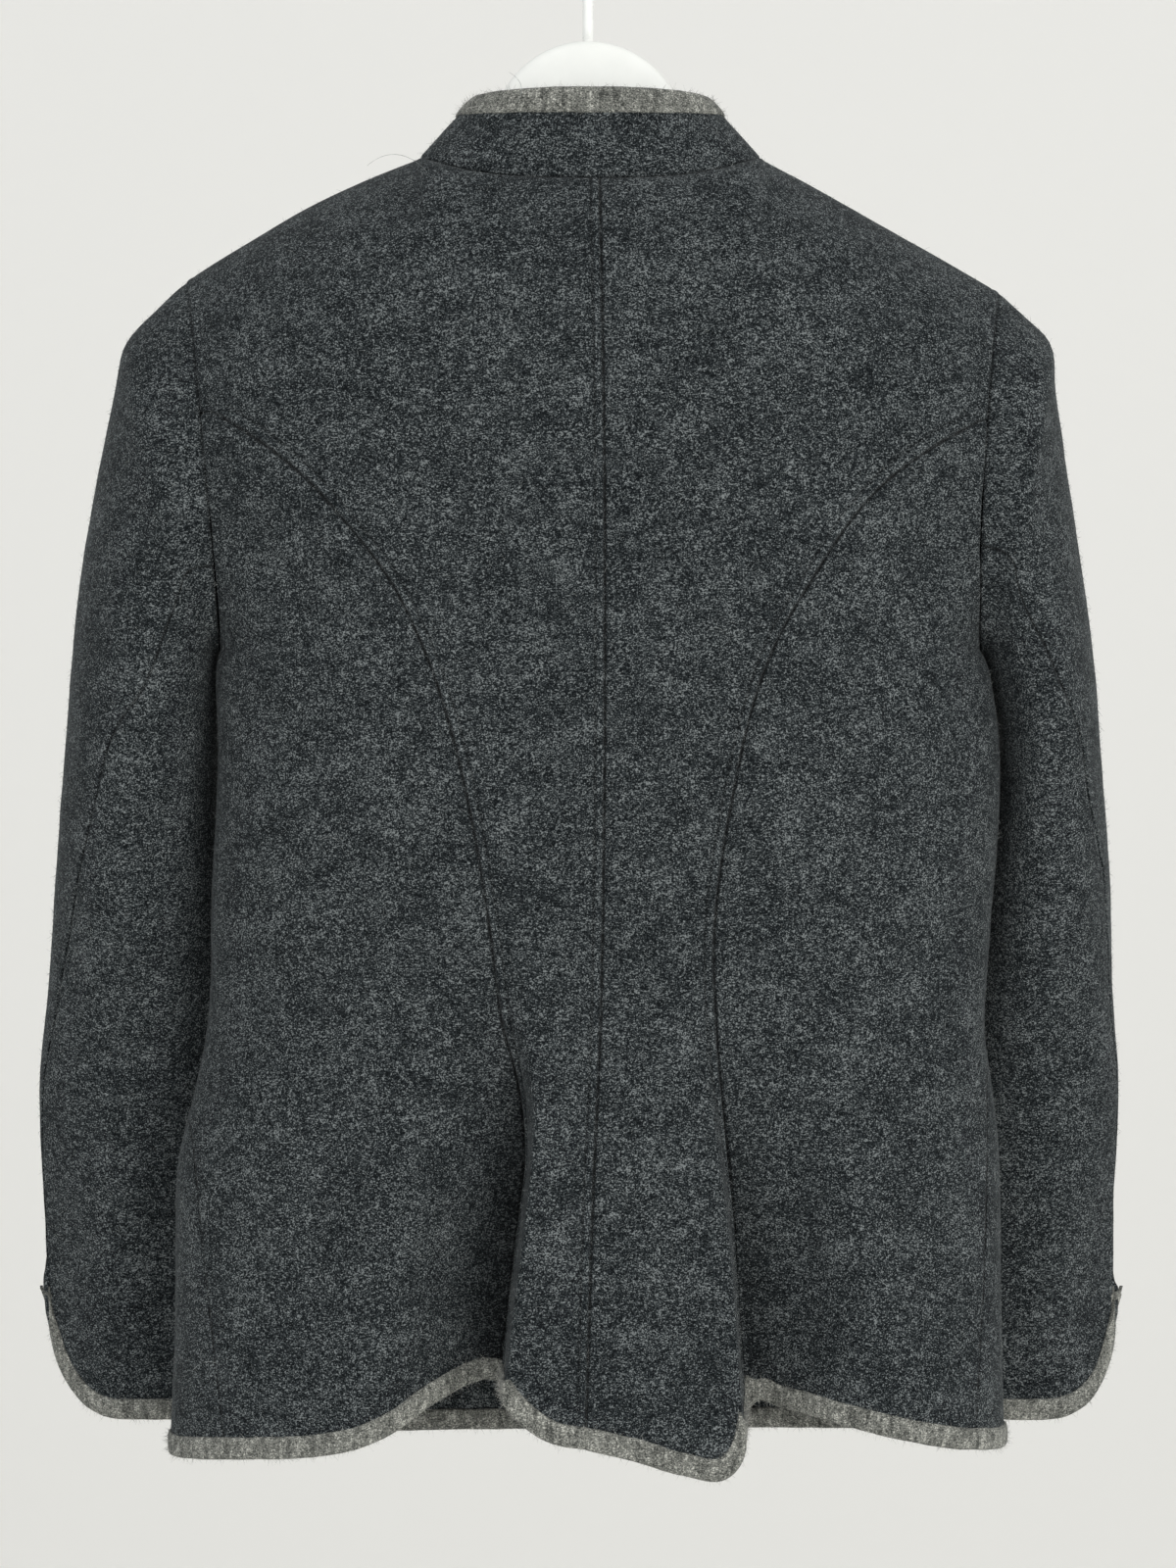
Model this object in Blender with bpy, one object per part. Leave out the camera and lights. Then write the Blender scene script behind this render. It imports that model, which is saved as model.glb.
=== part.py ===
"""A women's boiled-wool jacket on a hanger, +Z up, its back towards -Y.

The origin is the point of the hook that bears on a rail. Sizes here are in
millimetres and are turned into metres when a mesh is made. A drop is the
distance below the bearing point, out is the distance from the middle line,
and a side is -1 for the left and +1 for the right, as seen from behind.
"""

import math

import bpy
import numpy as np
from mathutils.kdtree import KDTree

MM = 0.001

# Driving dimensions
WALL = 2.4
SEAM_GAP = 0.3
LAY_GAP = 0.35
BINDING_WIDTH = 10.0
BINDING_CLOTH = 1.2

NECK_CENTRE = 1.3
NECK_HALF_WIDTH = 93.0
NECK_BACK_DEPTH = 50.0
NECK_FRONT_DEPTH = 62.0
NECK_BACK_DROP = 161.0
NECK_SIDE_DROP = 144.5
NECK_FRONT_DROP = 214.0
NECK_ROUND = 70.0

ARMHOLE_BOW = {-1: 5.0, 1: 7.0}
SHOULDER_ARCH = {-1: 5.0, 1: 1.0}
BACK_SQUARENESS = 2.5
FRONT_SQUARENESS = 2.1
FRONT_EDGE = 2.4
FRONT_HEM_DROP = 840.0
SIDE_HEM_DROP = {-1: 840.0, 1: 836.0}
FLANK = {-1: 76.0, 1: 78.0}
FOLD_START_DROP = 560.0
CENTRE_HEM_DROP = 826.0
TAIL_HOLLOW = 0.78

COLLAR_TOP_HALF_WIDTH = 65.0
COLLAR_TOP_BACK_DEPTH = 41.0
COLLAR_TOP_FRONT_DEPTH = 50.0
COLLAR_TOP_BACK_DROP = 113.0
COLLAR_TOP_SIDE_DROP = 114.0
COLLAR_TOP_FRONT_DROP = 172.0

CUFF_DROP = 830.0
CUFF_VENT = 54.0
CUFF_CORNER = 48.0
CUFF_NOTCH = 2.4

HUB_RADIUS = 52.0
HUB_TOP_DROP = 80.0
HUB_EDGE_OUT = 50.0
HUB_BOTTOM_DROP = 160.0
HUB_THICKNESS = 10.0
ARM_HEIGHT = 17.0
ARM_THICKNESS = 13.0
ARM_TIP_OUT = 196.0
ARM_CLEARANCE = 1.7
ARM_NECK_DIP = 7.0
ARM_RISE = 35.0
HOOK_WIRE = 5.8
HOOK_INNER_RADIUS = 22.0
HOOK_STRAIGHT_TOP = 54.0

# Counts of rows and columns in the panels
ARMHOLE_ROWS = 12
BODY_ROWS = 12
TAIL_COLUMNS = 5
FOLD_COLUMNS = 3
SIDE_COLUMNS = 8
NECK_COLUMNS = 5
SHOULDER_COLUMNS = 8
SEAM_COLUMN = TAIL_COLUMNS + FOLD_COLUMNS
PRINCESS_ROW = 5
SEAM_TIP = 3.0
CORNER_COLUMNS = 5
TOP_SLEEVE_COLUMNS = 17
UNDER_SLEEVE_COLUMNS = 14
COLLAR_HEIGHTS = (0.0, 0.38, 0.76, 1.0)

CLOTH = ((0.052, 0.058, 0.060), 0.95, 0.0)
BINDING = ((0.135, 0.142, 0.132), 0.93, 0.0)
PLASTIC = ((0.86, 0.87, 0.83), 0.35, 0.0)
COATED_WIRE = ((0.86, 0.87, 0.84), 0.3, 0.0)

SAME_PLACE = 0.1
SHOULDER_SLOPE = math.radians(28)
FACING_NAME = {-1: "back", 1: "front"}


class Table:
    """Rows of sizes under named columns; the first column is the key, which rises."""

    def __init__(self, columns, *rows):
        self.key = np.array([row[0] for row in rows], float)
        self.column = {name: np.array([row[i] for row in rows], float) for i, name in enumerate(columns)}
        steps = {name: np.diff(values) / np.diff(self.key) for name, values in self.column.items()}
        self.slope = {
            name: np.concatenate([[step[0]], (step[1:] + step[:-1]) / 2, [step[-1]]])
            for name, step in steps.items()
        }

    def at(self, name, key):
        """The column's value at this key, along a smooth curve through the rows."""
        x = self.key
        y = self.column[name]
        slope = self.slope[name]
        key = min(max(key, x[0]), x[-1])
        i = int(min(max(np.searchsorted(x, key) - 1, 0), len(x) - 2))
        width = x[i + 1] - x[i]
        t = (key - x[i]) / width
        value = y[i] * (2 * t**3 - 3 * t**2 + 1) + y[i + 1] * (3 * t**2 - 2 * t**3)
        return value + width * (slope[i] * (t**3 - 2 * t**2 + t) + slope[i + 1] * (t**3 - t**2))


# Half widths of the torso below the underarm
SIDES = Table(
    ("drop", "left", "right"),
    (410, 199.0, 212.0),
    (462, 199.5, 221.5),
    (494, 201.0, 222.5),
    (545, 203.5, 219.0),
    (588, 204.5, 215.5),
    (616, 206.5, 214.3),
    (646, 212.5, 218.5),
    (683, 221.5, 222.5),
    (747, 223.3, 223.5),
    (800, 224.5, 224.5),
    (840, 226.0, 225.5),
)

# How far the back and the front stand out from the side seams
DEPTHS = Table(
    ("drop", "back", "front"),
    (140, 62.0, 66.0),
    (220, 77.0, 74.0),
    (290, 83.0, 82.0),
    (350, 85.0, 87.0),
    (430, 85.0, 85.0),
    (500, 83.0, 83.0),
    (600, 72.0, 75.0),
    (680, 73.0, 79.0),
    (760, 76.0, 82.0),
    (840, 79.0, 84.0),
)

CENTRE_BACK = Table(
    ("drop", "out"),
    (161, 6.2),
    (330, 8.7),
    (600, 6.8),
    (700, 2.6),
    (835, -1.5),
)

# The curved seams from the armholes to the hem, by their distance out
PRINCESS = Table(
    ("drop", "left", "right"),
    (270, 225.0, 236.0),
    (284, 200.5, 216.0),
    (290, 190.5, 207.0),
    (302, 172.0, 186.0),
    (322, 147.5, 158.0),
    (343, 128.5, 138.5),
    (374, 104.5, 117.9),
    (400, 91.0, 102.4),
    (430, 78.8, 89.6),
    (488, 63.5, 75.8),
    (556, 51.9, 66.5),
    (607, 45.3, 67.4),
    (640, 37.0, 70.0),
    (675, 34.0, 73.5),
    (710, 37.0, 77.0),
    (742, 40.5, 79.5),
    (795, 46.5, 83.0),
    (835, 49.5, 84.5),
)

# The tail of the centre back: how far its crest lies inside the seam, how far
# the crest stands out of the body, and how deep the seam lies in it
FOLDS = {
    -1: Table(
        ("drop", "width", "crest", "valley"),
        (560, 20.0, 0.0, 0.0),
        (620, 13.0, 3.0, 8.0),
        (675, 6.5, 9.0, 26.0),
        (742, 6.0, 14.0, 40.0),
        (840, 7.0, 18.0, 44.0),
    ),
    1: Table(
        ("drop", "width", "crest", "valley"),
        (560, 20.0, 0.0, 0.0),
        (630, 9.0, 2.0, 3.0),
        (690, 6.0, 8.0, 16.0),
        (742, 5.5, 13.0, 30.0),
        (840, 5.0, 18.0, 38.0),
    ),
}

# The back hem's drop by its distance out
BACK_HEM = {
    -1: Table(
        ("out", "drop"),
        (1, 826.0),
        (20, 822.0),
        (38, 809.0),
        (44, 802.0),
        (51, 797.0),
        (62, 798.5),
        (82, 808.0),
        (104, 822.0),
        (130, 831.0),
        (190, 837.0),
        (226, 840.0),
    ),
    1: Table(
        ("out", "drop"),
        (-1, 826.0),
        (25, 832.0),
        (50, 839.0),
        (72, 840.5),
        (79, 832.0),
        (85, 812.0),
        (104, 811.5),
        (130, 817.0),
        (160, 824.0),
        (190, 831.0),
        (226, 836.0),
    ),
}

# Sleeve rings, from the armhole to the cuff. Each is an ellipse between an
# outer and an inner point, mid forward of the shoulder, depth deep to each side
SLEEVE_COLUMNS = ("ring", "outer", "outer_drop", "inner", "inner_drop", "mid", "depth")
SLEEVES = {
    -1: Table(
        SLEEVE_COLUMNS,
        (0, 217.3, 210.5, 199.0, 410.0, 0.0, 49.0),
        (1, 233.5, 226.0, 200.4, 412.5, 1.0, 52.0),
        (2, 249.5, 243.5, 200.8, 416.0, 3.0, 55.0),
        (3, 255.5, 268.0, 200.8, 422.0, 7.0, 57.0),
        (4, 263.5, 302.0, 200.6, 431.0, 12.0, 58.0),
        (5, 272.0, 344.0, 200.4, 442.0, 17.0, 59.0),
        (6, 280.5, 402.0, 200.4, 458.0, 23.0, 59.0),
        (7, 286.0, 462.0, 199.5, 482.0, 30.0, 58.0),
        (8, 292.0, 528.0, 196.0, 530.0, 40.0, 53.0),
        (9, 297.5, 590.0, 192.5, 590.0, 51.0, 45.0),
        (10, 304.0, 650.0, 191.0, 650.0, 58.0, 37.0),
        (11, 302.0, 715.0, 187.0, 715.0, 65.0, 31.0),
        (12, 300.0, 780.0, 184.0, 780.0, 69.0, 27.0),
        (13, 299.0, 834.0, 182.0, 834.0, 71.0, 25.0),
    ),
    1: Table(
        SLEEVE_COLUMNS,
        (0, 222.6, 216.7, 212.0, 410.0, 0.0, 49.0),
        (1, 235.0, 229.0, 214.0, 412.5, 1.0, 52.0),
        (2, 249.5, 244.0, 215.4, 416.0, 3.0, 55.0),
        (3, 252.5, 268.0, 216.8, 422.0, 7.0, 57.0),
        (4, 258.5, 302.0, 218.2, 431.0, 13.0, 58.0),
        (5, 265.5, 344.0, 220.4, 442.0, 19.0, 59.0),
        (6, 274.0, 402.0, 222.0, 458.0, 26.0, 60.0),
        (7, 280.0, 462.0, 220.5, 482.0, 33.0, 61.0),
        (8, 286.5, 528.0, 214.5, 530.0, 43.0, 56.0),
        (9, 289.5, 590.0, 207.5, 590.0, 54.0, 48.0),
        (10, 294.0, 650.0, 201.0, 650.0, 60.0, 38.0),
        (11, 292.0, 715.0, 192.0, 715.0, 66.0, 32.0),
        (12, 293.5, 780.0, 188.0, 780.0, 70.0, 28.0),
        (13, 296.0, 834.0, 186.0, 834.0, 72.0, 26.0),
    ),
}
SLEEVE_RINGS = (0, 0.5, 1, 1.5, 2, 2.5, 3, 3.7, 4.5, 5.3, 6.1, 7, 8, 9, 10, 10.8)
LOWER_SLEEVE_RING = 8.0
CUFF_RING = 12.0

# The sleeve's two seams, in degrees round a ring from its outer point by the
# back; the forearm seam is on the front, near the body
SLEEVE_SEAMS = Table(
    ("ring", "left_elbow", "right_elbow", "forearm"),
    (0, 124.0, 116.0, -135.0),
    (4.6, 108.0, 104.0, -145.0),
    (6, 94.0, 82.0, -148.0),
    (6.8, 72.0, 61.0, -150.0),
    (7.5, 59.0, 50.0, -151.0),
    (8, 51.0, 37.0, -152.0),
    (9.5, 27.0, 19.0, -154.0),
    (11, 8.0, 6.0, -156.0),
    (13, 0.0, 0.0, -156.0),
)


def smoothstep(t):
    t = min(max(t, 0.0), 1.0)
    return t * t * (3 - 2 * t)


def quarter_arc(t):
    t = min(max(t, 0.0), 1.0)
    return math.sqrt(1 - (1 - t) ** 2)


def lerp(a, b, t):
    return a + (b - a) * t


def steps(a, b, count):
    """Evenly spaced values from a to b, both included."""
    return [lerp(a, b, i / count) for i in range(count + 1)]


def side_name(side):
    return "left" if side < 0 else "right"


def unit(vector):
    return vector / max(np.linalg.norm(vector), 1e-9)


def point(out, deep, drop, side=1):
    """A place given outwards on one side, deep towards the front, and down."""
    return np.array([side * out, deep, -drop], float)


# Sleeve surface

def sleeve_point(side, ring, turn):
    """A point of the sleeve's outside, turn degrees round the ring from its outer point by the back."""
    table = SLEEVES[side]
    outer = point(table.at("outer", ring), 0, table.at("outer_drop", ring), side)
    inner = point(table.at("inner", ring), 0, table.at("inner_drop", ring), side)
    angle = math.radians(turn)
    place = (outer + inner) / 2 + (outer - inner) / 2 * math.cos(angle)
    place[0] -= side * ARMHOLE_BOW[side] * max(0.0, 1 - ring) * abs(math.sin(angle))
    place[1] = table.at("mid", ring) - table.at("depth", ring) * math.sin(angle)
    return place


# Torso surface

def neckline(facing, across):
    """How deep and how far down the neckline is, by its place across from 0 in the middle to 1."""
    if facing < 0:
        round_share = (1 - across**2.4) ** (1 / 2.4)
        return -NECK_BACK_DEPTH * round_share, lerp(NECK_BACK_DROP, NECK_SIDE_DROP, across**3)
    round_share = (1 - across**2.2) ** (1 / 2.2)
    return NECK_FRONT_DEPTH * round_share, lerp(NECK_SIDE_DROP, NECK_FRONT_DROP, round_share**1.5)


def neck_side_out(side):
    return NECK_HALF_WIDTH + side * NECK_CENTRE


def shoulder_tip(side):
    table = SLEEVES[side]
    return table.at("outer", 0), table.at("outer_drop", 0)


def underarm_drop(side):
    return SLEEVES[side].at("inner_drop", 0)


def top_line(side, facing, out):
    """The neckline, then the shoulder seam: how deep and how far down it is at this distance out."""
    edge = neck_side_out(side)
    if out < edge:
        across = min(abs(out - side * NECK_CENTRE) / NECK_HALF_WIDTH, 1.0)
        return neckline(facing, across)
    tip_out, tip_drop = shoulder_tip(side)
    along = (out - edge) / (tip_out - edge)
    return 0.0, lerp(NECK_SIDE_DROP, tip_drop, along) - SHOULDER_ARCH[side] * math.sin(math.pi * along)


def body_depth(facing, out, drop, edge_out, edge_deep):
    """The torso's section at this drop: a rounded box through the panel's outer edge."""
    power = BACK_SQUARENESS if facing < 0 else FRONT_SQUARENESS
    depth = DEPTHS.at("back" if facing < 0 else "front", drop)
    reach = edge_out / (1 - (edge_deep / depth) ** power) ** (1 / power)
    return facing * depth * max(0.0, 1 - (abs(out) / reach) ** power) ** (1 / power)


def fold_depth(side, out, drop):
    """How far forward the folds beside the tail move the back's surface."""
    if drop < FOLD_START_DROP:
        return 0.0
    seam = PRINCESS.at(side_name(side), drop)
    fold = FOLDS[side]
    width = fold.at("width", drop)
    crest = fold.at("crest", drop)
    valley = fold.at("valley", drop)
    beyond = out - seam
    if beyond >= 0:
        return valley * (1 - smoothstep(beyond / FLANK[side]))
    if beyond > -width:
        return lerp(valley, -crest, smoothstep(-beyond / width))
    centre = middle_out(side, -1, drop)
    middle_crest = TAIL_HOLLOW * (crest + FOLDS[-side].at("crest", drop)) / 2
    return -lerp(middle_crest, crest, smoothstep((out - centre) / (seam - width - centre)))


def middle_out(side, facing, drop):
    """Where the middle line lies: the centre-back seam, or the centre front."""
    return side * CENTRE_BACK.at("out", drop) if facing < 0 else 0.0


def upper_torso_point(side, facing, out, row):
    """A point between the shoulder and the underarm; row runs from 0 to 1."""
    edge = sleeve_point(side, 0, -facing * 180 * row)
    edge_out = side * edge[0]
    inner = middle_out(side, facing, NECK_BACK_DROP)
    share = (out - inner) / (edge_out - inner)
    top_deep, top_drop = top_line(side, facing, lerp(inner, shoulder_tip(side)[0], share))
    down = (1 - math.cos(math.pi * row)) / 2
    drop = lerp(top_drop, underarm_drop(side), down)
    widest = SLEEVES[side].at("depth", 0)
    body = body_depth(facing, out, drop, edge_out, widest if row < 0.5 else abs(edge[1]))
    half_height = (underarm_drop(side) - shoulder_tip(side)[1]) / 2
    ease = lerp(NECK_ROUND, half_height, min(max(share, 0.0), 1.0))
    return point(out, lerp(top_deep, body, quarter_arc((drop - top_drop) / ease)), drop, side)


def lower_torso_point(side, facing, out, row):
    """A point between the underarm and the hem; row runs from 1 to 2."""
    edge_out = seam_edge(side, row)
    if facing < 0:
        centre = middle_out(side, -1, lerp(underarm_drop(side), CENTRE_HEM_DROP, row - 1))
        hem_centre = middle_out(side, -1, CENTRE_HEM_DROP)
        hem_edge = SIDES.at(side_name(side), SIDE_HEM_DROP[side])
        hem = BACK_HEM[side].at("drop", lerp(hem_centre, hem_edge, (out - centre) / (edge_out - centre)))
    else:
        hem = lerp(FRONT_HEM_DROP, SIDE_HEM_DROP[side], smoothstep(out / edge_out))
    drop = lerp(underarm_drop(side), hem, row - 1)
    deep = body_depth(facing, out, drop, max(SIDES.at(side_name(side), drop), out), 0.0)
    if facing < 0:
        deep += fold_depth(side, out, drop) * (1 - smoothstep((out / edge_out - 0.8) / 0.2))
    return point(out, deep, drop, side)


def torso_point(side, facing, out, row):
    """A point of the torso's outside; row is 0 at the top, 1 at the underarm and 2 at the hem."""
    if row <= 1:
        return upper_torso_point(side, facing, out, row)
    return lower_torso_point(side, facing, out, row)


def seam_edge(side, row):
    """How far out the side seam is on a row below the underarm."""
    drop = lerp(underarm_drop(side), SIDE_HEM_DROP[side], row - 1)
    return SIDES.at(side_name(side), drop)


def panel_edge(side, facing, row):
    """How far out the armhole or the side seam is on this row."""
    if row <= 1:
        return side * sleeve_point(side, 0, -facing * 180 * row)[0]
    return seam_edge(side, row)


def crossing(side, row):
    """Where the curved seam, which is known by its drop, crosses a row of the back."""
    edge = panel_edge(side, -1, row)
    out = 60.0
    for _ in range(40):
        drop = -torso_point(side, -1, out, row)[2]
        out = min(lerp(out, PRINCESS.at(side_name(side), drop), 0.6), edge - SEAM_TIP)
    return out


def torso_rows():
    """Rows from the top to the hem; the last but one is the upper edge of the hem's binding."""
    binding = 2 - BINDING_WIDTH / (FRONT_HEM_DROP - underarm_drop(1))
    return steps(0, 1, ARMHOLE_ROWS) + steps(1, 2, BODY_ROWS)[1:-1] + [binding, 2.0]


def front_spread(start, end, count, row):
    """Columns from start to end, drawn towards the side seam below the armhole."""
    power = lerp(1.0, 1.8, smoothstep(2 * row - 1))
    return [lerp(end, start, (1 - i / count) ** power) for i in range(count + 1)]


def side_back_spread(start, end, count, row):
    """Columns from start to end, closer at both seams below the armhole."""
    ease = smoothstep(2 * row - 1)
    evenly = steps(0, 1, count)
    return [lerp(start, end, lerp(t, (1 - math.cos(math.pi * t)) / 2, ease)) for t in evenly]


def top_columns(side, first, neck_count):
    """Distances out of the columns on the top row, with one at the side of the neck."""
    neck = neck_side_out(side)
    tip = shoulder_tip(side)[0]
    return steps(first, neck, neck_count) + steps(neck, tip, SHOULDER_COLUMNS)[1:]


def eased_columns(side, facing, row, top, regular):
    """The columns of a row, which change from those of the top row to the regular ones."""
    edge = panel_edge(side, facing, row)
    scale = (edge - regular[0]) / (top[-1] - top[0])
    carried = [regular[0] + (out - top[0]) * scale for out in top]
    ease = smoothstep(row * ARMHOLE_ROWS / PRINCESS_ROW)
    return [lerp(a, b, ease) for a, b in zip(carried, regular)]


def back_columns(side, row):
    """Distances out of the back's columns: even above the curved seam, then the tail, the fold and the side panel."""
    edge = panel_edge(side, -1, row)
    centre = middle_out(side, -1, -torso_point(side, -1, 0.0, row)[2])
    if row * ARMHOLE_ROWS < PRINCESS_ROW + 0.5:
        top = top_columns(side, side * CENTRE_BACK.at("out", NECK_BACK_DROP), SEAM_COLUMN)
        return eased_columns(side, -1, row, top, steps(centre, edge, SEAM_COLUMN + SIDE_COLUMNS))
    seam = crossing(side, row)
    width = FOLDS[side].at("width", -torso_point(side, -1, seam, row)[2])
    tail = steps(centre, seam - width, TAIL_COLUMNS)
    fold = steps(seam - width, seam, FOLD_COLUMNS)[1:]
    return tail + fold + side_back_spread(seam, edge, SIDE_COLUMNS, row)[1:]


def front_columns(side, row):
    """Distances out of the front's columns; the first two bound the edge's binding."""
    edge = panel_edge(side, 1, row)
    inner = FRONT_EDGE + BINDING_WIDTH
    top = top_columns(side, inner, NECK_COLUMNS)
    regular = front_spread(inner, edge, NECK_COLUMNS + SHOULDER_COLUMNS, row)
    return [FRONT_EDGE] + eased_columns(side, 1, row, top, regular)


def torso_grid(side, facing):
    read = back_columns if facing < 0 else front_columns
    return np.array(
        [[torso_point(side, facing, out, row) for out in read(side, row)] for row in torso_rows()]
    )


# Sleeve rows

def sleeve_turns(side, ring, piece, count):
    """Angles of one sleeve piece's columns on a ring."""
    elbow = SLEEVE_SEAMS.at("left_elbow" if side < 0 else "right_elbow", ring)
    forearm = SLEEVE_SEAMS.at("forearm", ring)
    if piece == "top":
        return steps(elbow, forearm, count)
    return steps(elbow, forearm + 360, count)


def armhole_chord(side, turn):
    """A point on the straight lines between the torso's armhole points."""
    step = 180 / ARMHOLE_ROWS
    low = math.floor(turn / step + 1e-6) * step
    start = sleeve_point(side, 0, low)
    end = sleeve_point(side, 0, low + step)
    return lerp(start, end, (turn - low) / step)


def ring_at_drop(side, drop):
    """The ring of the lower sleeve at this drop."""
    rings = np.linspace(LOWER_SLEEVE_RING, 13, 60)
    drops = [SLEEVES[side].at("outer_drop", ring) for ring in rings]
    return float(np.interp(drop, drops, rings))


def cuff_lengths(side, turns):
    """Lengths round the cuff to each of these angles."""
    marks = [sleeve_point(side, CUFF_RING, turn) for turn in turns]
    return np.concatenate([[0.0], np.cumsum([np.linalg.norm(b - a) for a, b in zip(marks, marks[1:])])])


def cuff_columns(whole, count):
    """The cuff's edge and the line inset from it by the binding, as lengths round and drops."""
    edge = [(0.0, CUFF_DROP - CUFF_VENT)]
    inset = [(0.0, CUFF_DROP - CUFF_VENT - BINDING_WIDTH)]
    for angle in steps(0, math.pi / 2, CORNER_COLUMNS):
        length = CUFF_NOTCH + CUFF_CORNER * (1 - math.cos(angle))
        drop = CUFF_DROP - CUFF_VENT * (1 - math.sin(angle))
        inward = unit(np.array([math.cos(angle) / CUFF_CORNER, -math.sin(angle) / CUFF_VENT]))
        edge.append((length, drop))
        inset.append((length + BINDING_WIDTH * inward[0], drop + BINDING_WIDTH * inward[1]))
    for length in steps(edge[-1][0], whole, count - CORNER_COLUMNS - 1)[1:]:
        edge.append((length, CUFF_DROP))
        inset.append((length, CUFF_DROP - BINDING_WIDTH))
    return inset, edge


def sleeve_grid(side, piece):
    """Rows of one sleeve piece from the armhole to the cuff, columns from the elbow seam to the forearm seam."""
    count = TOP_SLEEVE_COLUMNS if piece == "top" else UNDER_SLEEVE_COLUMNS
    rows = []
    for ring in SLEEVE_RINGS:
        read = armhole_chord if ring == 0 else (lambda s, turn, r=ring: sleeve_point(s, r, turn))
        rows.append([read(side, turn) for turn in sleeve_turns(side, ring, piece, count)])
    turns = sleeve_turns(side, CUFF_RING, piece, 60)
    lengths = cuff_lengths(side, turns)
    inset, edge = cuff_columns(lengths[-1], count)
    last_drop = SLEEVES[side].at("outer_drop", SLEEVE_RINGS[-1])
    last_turns = sleeve_turns(side, SLEEVE_RINGS[-1], piece, count)
    inset_turns = [float(np.interp(length, lengths, turns)) for length, _ in inset]
    between = [
        sleeve_point(side, ring_at_drop(side, lerp(last_drop, drop, 0.5)), lerp(last, turn, 0.5))
        for (_, drop), last, turn in zip(inset, last_turns, inset_turns)
    ]
    rows.append(between)
    for line in (inset, edge):
        rows.append(
            [
                sleeve_point(side, ring_at_drop(side, drop), float(np.interp(length, lengths, turns)))
                for length, drop in line
            ]
        )
    return np.array(rows)


# Collar

def collar_top(facing, across):
    """A point of the collar's top edge over a place of the neckline; across is signed."""
    share = min(abs(across), 1.0)
    if facing < 0:
        deep = -COLLAR_TOP_BACK_DEPTH * (1 - share**2.4) ** (1 / 2.4)
        drop = lerp(COLLAR_TOP_BACK_DROP, COLLAR_TOP_SIDE_DROP, share**3)
    else:
        round_share = (1 - share**2.2) ** (1 / 2.2)
        deep = COLLAR_TOP_FRONT_DEPTH * round_share
        drop = lerp(COLLAR_TOP_SIDE_DROP, COLLAR_TOP_FRONT_DROP, round_share**1.5)
    return point(NECK_CENTRE + COLLAR_TOP_HALF_WIDTH * across, deep, drop)


def collar_grid(torso):
    """Rows from the neckline to the top edge; columns from the left front edge round the back."""
    front_neck = NECK_COLUMNS + 2
    back_neck = SEAM_COLUMN + 1
    base = [(1, place) for place in torso[-1, 1][0, :front_neck]]
    base += [(-1, place) for place in torso[-1, -1][0, : back_neck - 1][::-1]]
    base += [(-1, place) for place in torso[1, -1][0, 1:back_neck]]
    base += [(1, place) for place in torso[1, 1][0, : front_neck - 1][::-1]]
    rows = []
    for height in COLLAR_HEIGHTS:
        row = []
        for facing, place in base:
            across = (place[0] - NECK_CENTRE) / NECK_HALF_WIDTH
            top = collar_top(facing, across)
            if abs(place[0]) < FRONT_EDGE + BINDING_WIDTH + 1 and facing > 0:
                top[0] = place[0]
            row.append(lerp(place, top, height))
        rows.append(row)
    return np.array(rows)


def facing_out(normals, grid):
    """The normals turned away from the middle of each row."""
    hearts = grid.mean(axis=1, keepdims=True)
    return normals * np.sign(np.sum(normals * (grid - hearts)))


def grid_normals(grid):
    """Unit normals at a grid's points, from the triangles round each."""
    normals = np.zeros_like(grid)
    for i in range(grid.shape[0] - 1):
        for j in range(grid.shape[1] - 1):
            a, b = grid[i, j], grid[i, j + 1]
            c, d = grid[i + 1, j + 1], grid[i + 1, j]
            normal = np.cross(c - a, b - d)
            for place in ((i, j), (i, j + 1), (i + 1, j + 1), (i + 1, j)):
                normals[place] += unit(normal)
    normals = facing_out(normals, grid)
    return normals / np.maximum(np.linalg.norm(normals, axis=2, keepdims=True), 1e-9)


def share_normals(grids, normals):
    """Gives points that pieces share a common normal, as far as the pieces run on into each other."""
    entries = [(name, place) for name, grid in grids.items() for place in np.ndindex(grid.shape[:2])]
    tree = KDTree(len(entries))
    for number, (name, place) in enumerate(entries):
        tree.insert(grids[name][place], number)
    tree.balance()
    shared = {name: found.copy() for name, found in normals.items()}
    for name, place in entries:
        own = normals[name][place]
        total = np.zeros(3)
        for _, number, _ in tree.find_range(grids[name][place], SAME_PLACE):
            other, spot = entries[number]
            found = normals[other][spot]
            total += found * smoothstep(own.dot(found) / 0.5)
        shared[name][place] = unit(total)
    for side in (-1, 1):
        under = shared[f"sleeve_under_{side_name(side)}"]
        for j in range(1, UNDER_SLEEVE_COLUMNS, 2):
            under[0, j] = unit(under[0, j - 1] + under[0, j + 1])
    return shared


# Solids

def material(name, look):
    """One piece's own material."""
    colour, roughness, metallic = look
    made = bpy.data.materials.new(name)
    made.use_nodes = True
    shader = made.node_tree.nodes["Principled BSDF"]
    shader.inputs["Base Color"].default_value = (*colour, 1.0)
    shader.inputs["Roughness"].default_value = roughness
    shader.inputs["Metallic"].default_value = metallic
    return made


def add_object(name, points, faces, look):
    """A mesh object in metres, with its faces turned outwards."""
    points = np.array(points, float)
    corners = points[np.array(faces)] - points.mean(axis=0)
    volume = np.einsum("ij,ij->i", corners[:, 0], np.cross(corners[:, 1], corners[:, 2])).sum()
    if volume < 0:
        faces = [face[::-1] for face in faces]
    mesh = bpy.data.meshes.new(name)
    mesh.from_pydata([tuple(place * MM) for place in points], [], faces)
    mesh.shade_smooth()
    mesh.set_sharp_from_angle(angle=math.radians(40))
    mesh.materials.append(material(name, look))
    made = bpy.data.objects.new(name, mesh)
    bpy.context.scene.collection.objects.link(made)
    return made


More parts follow.
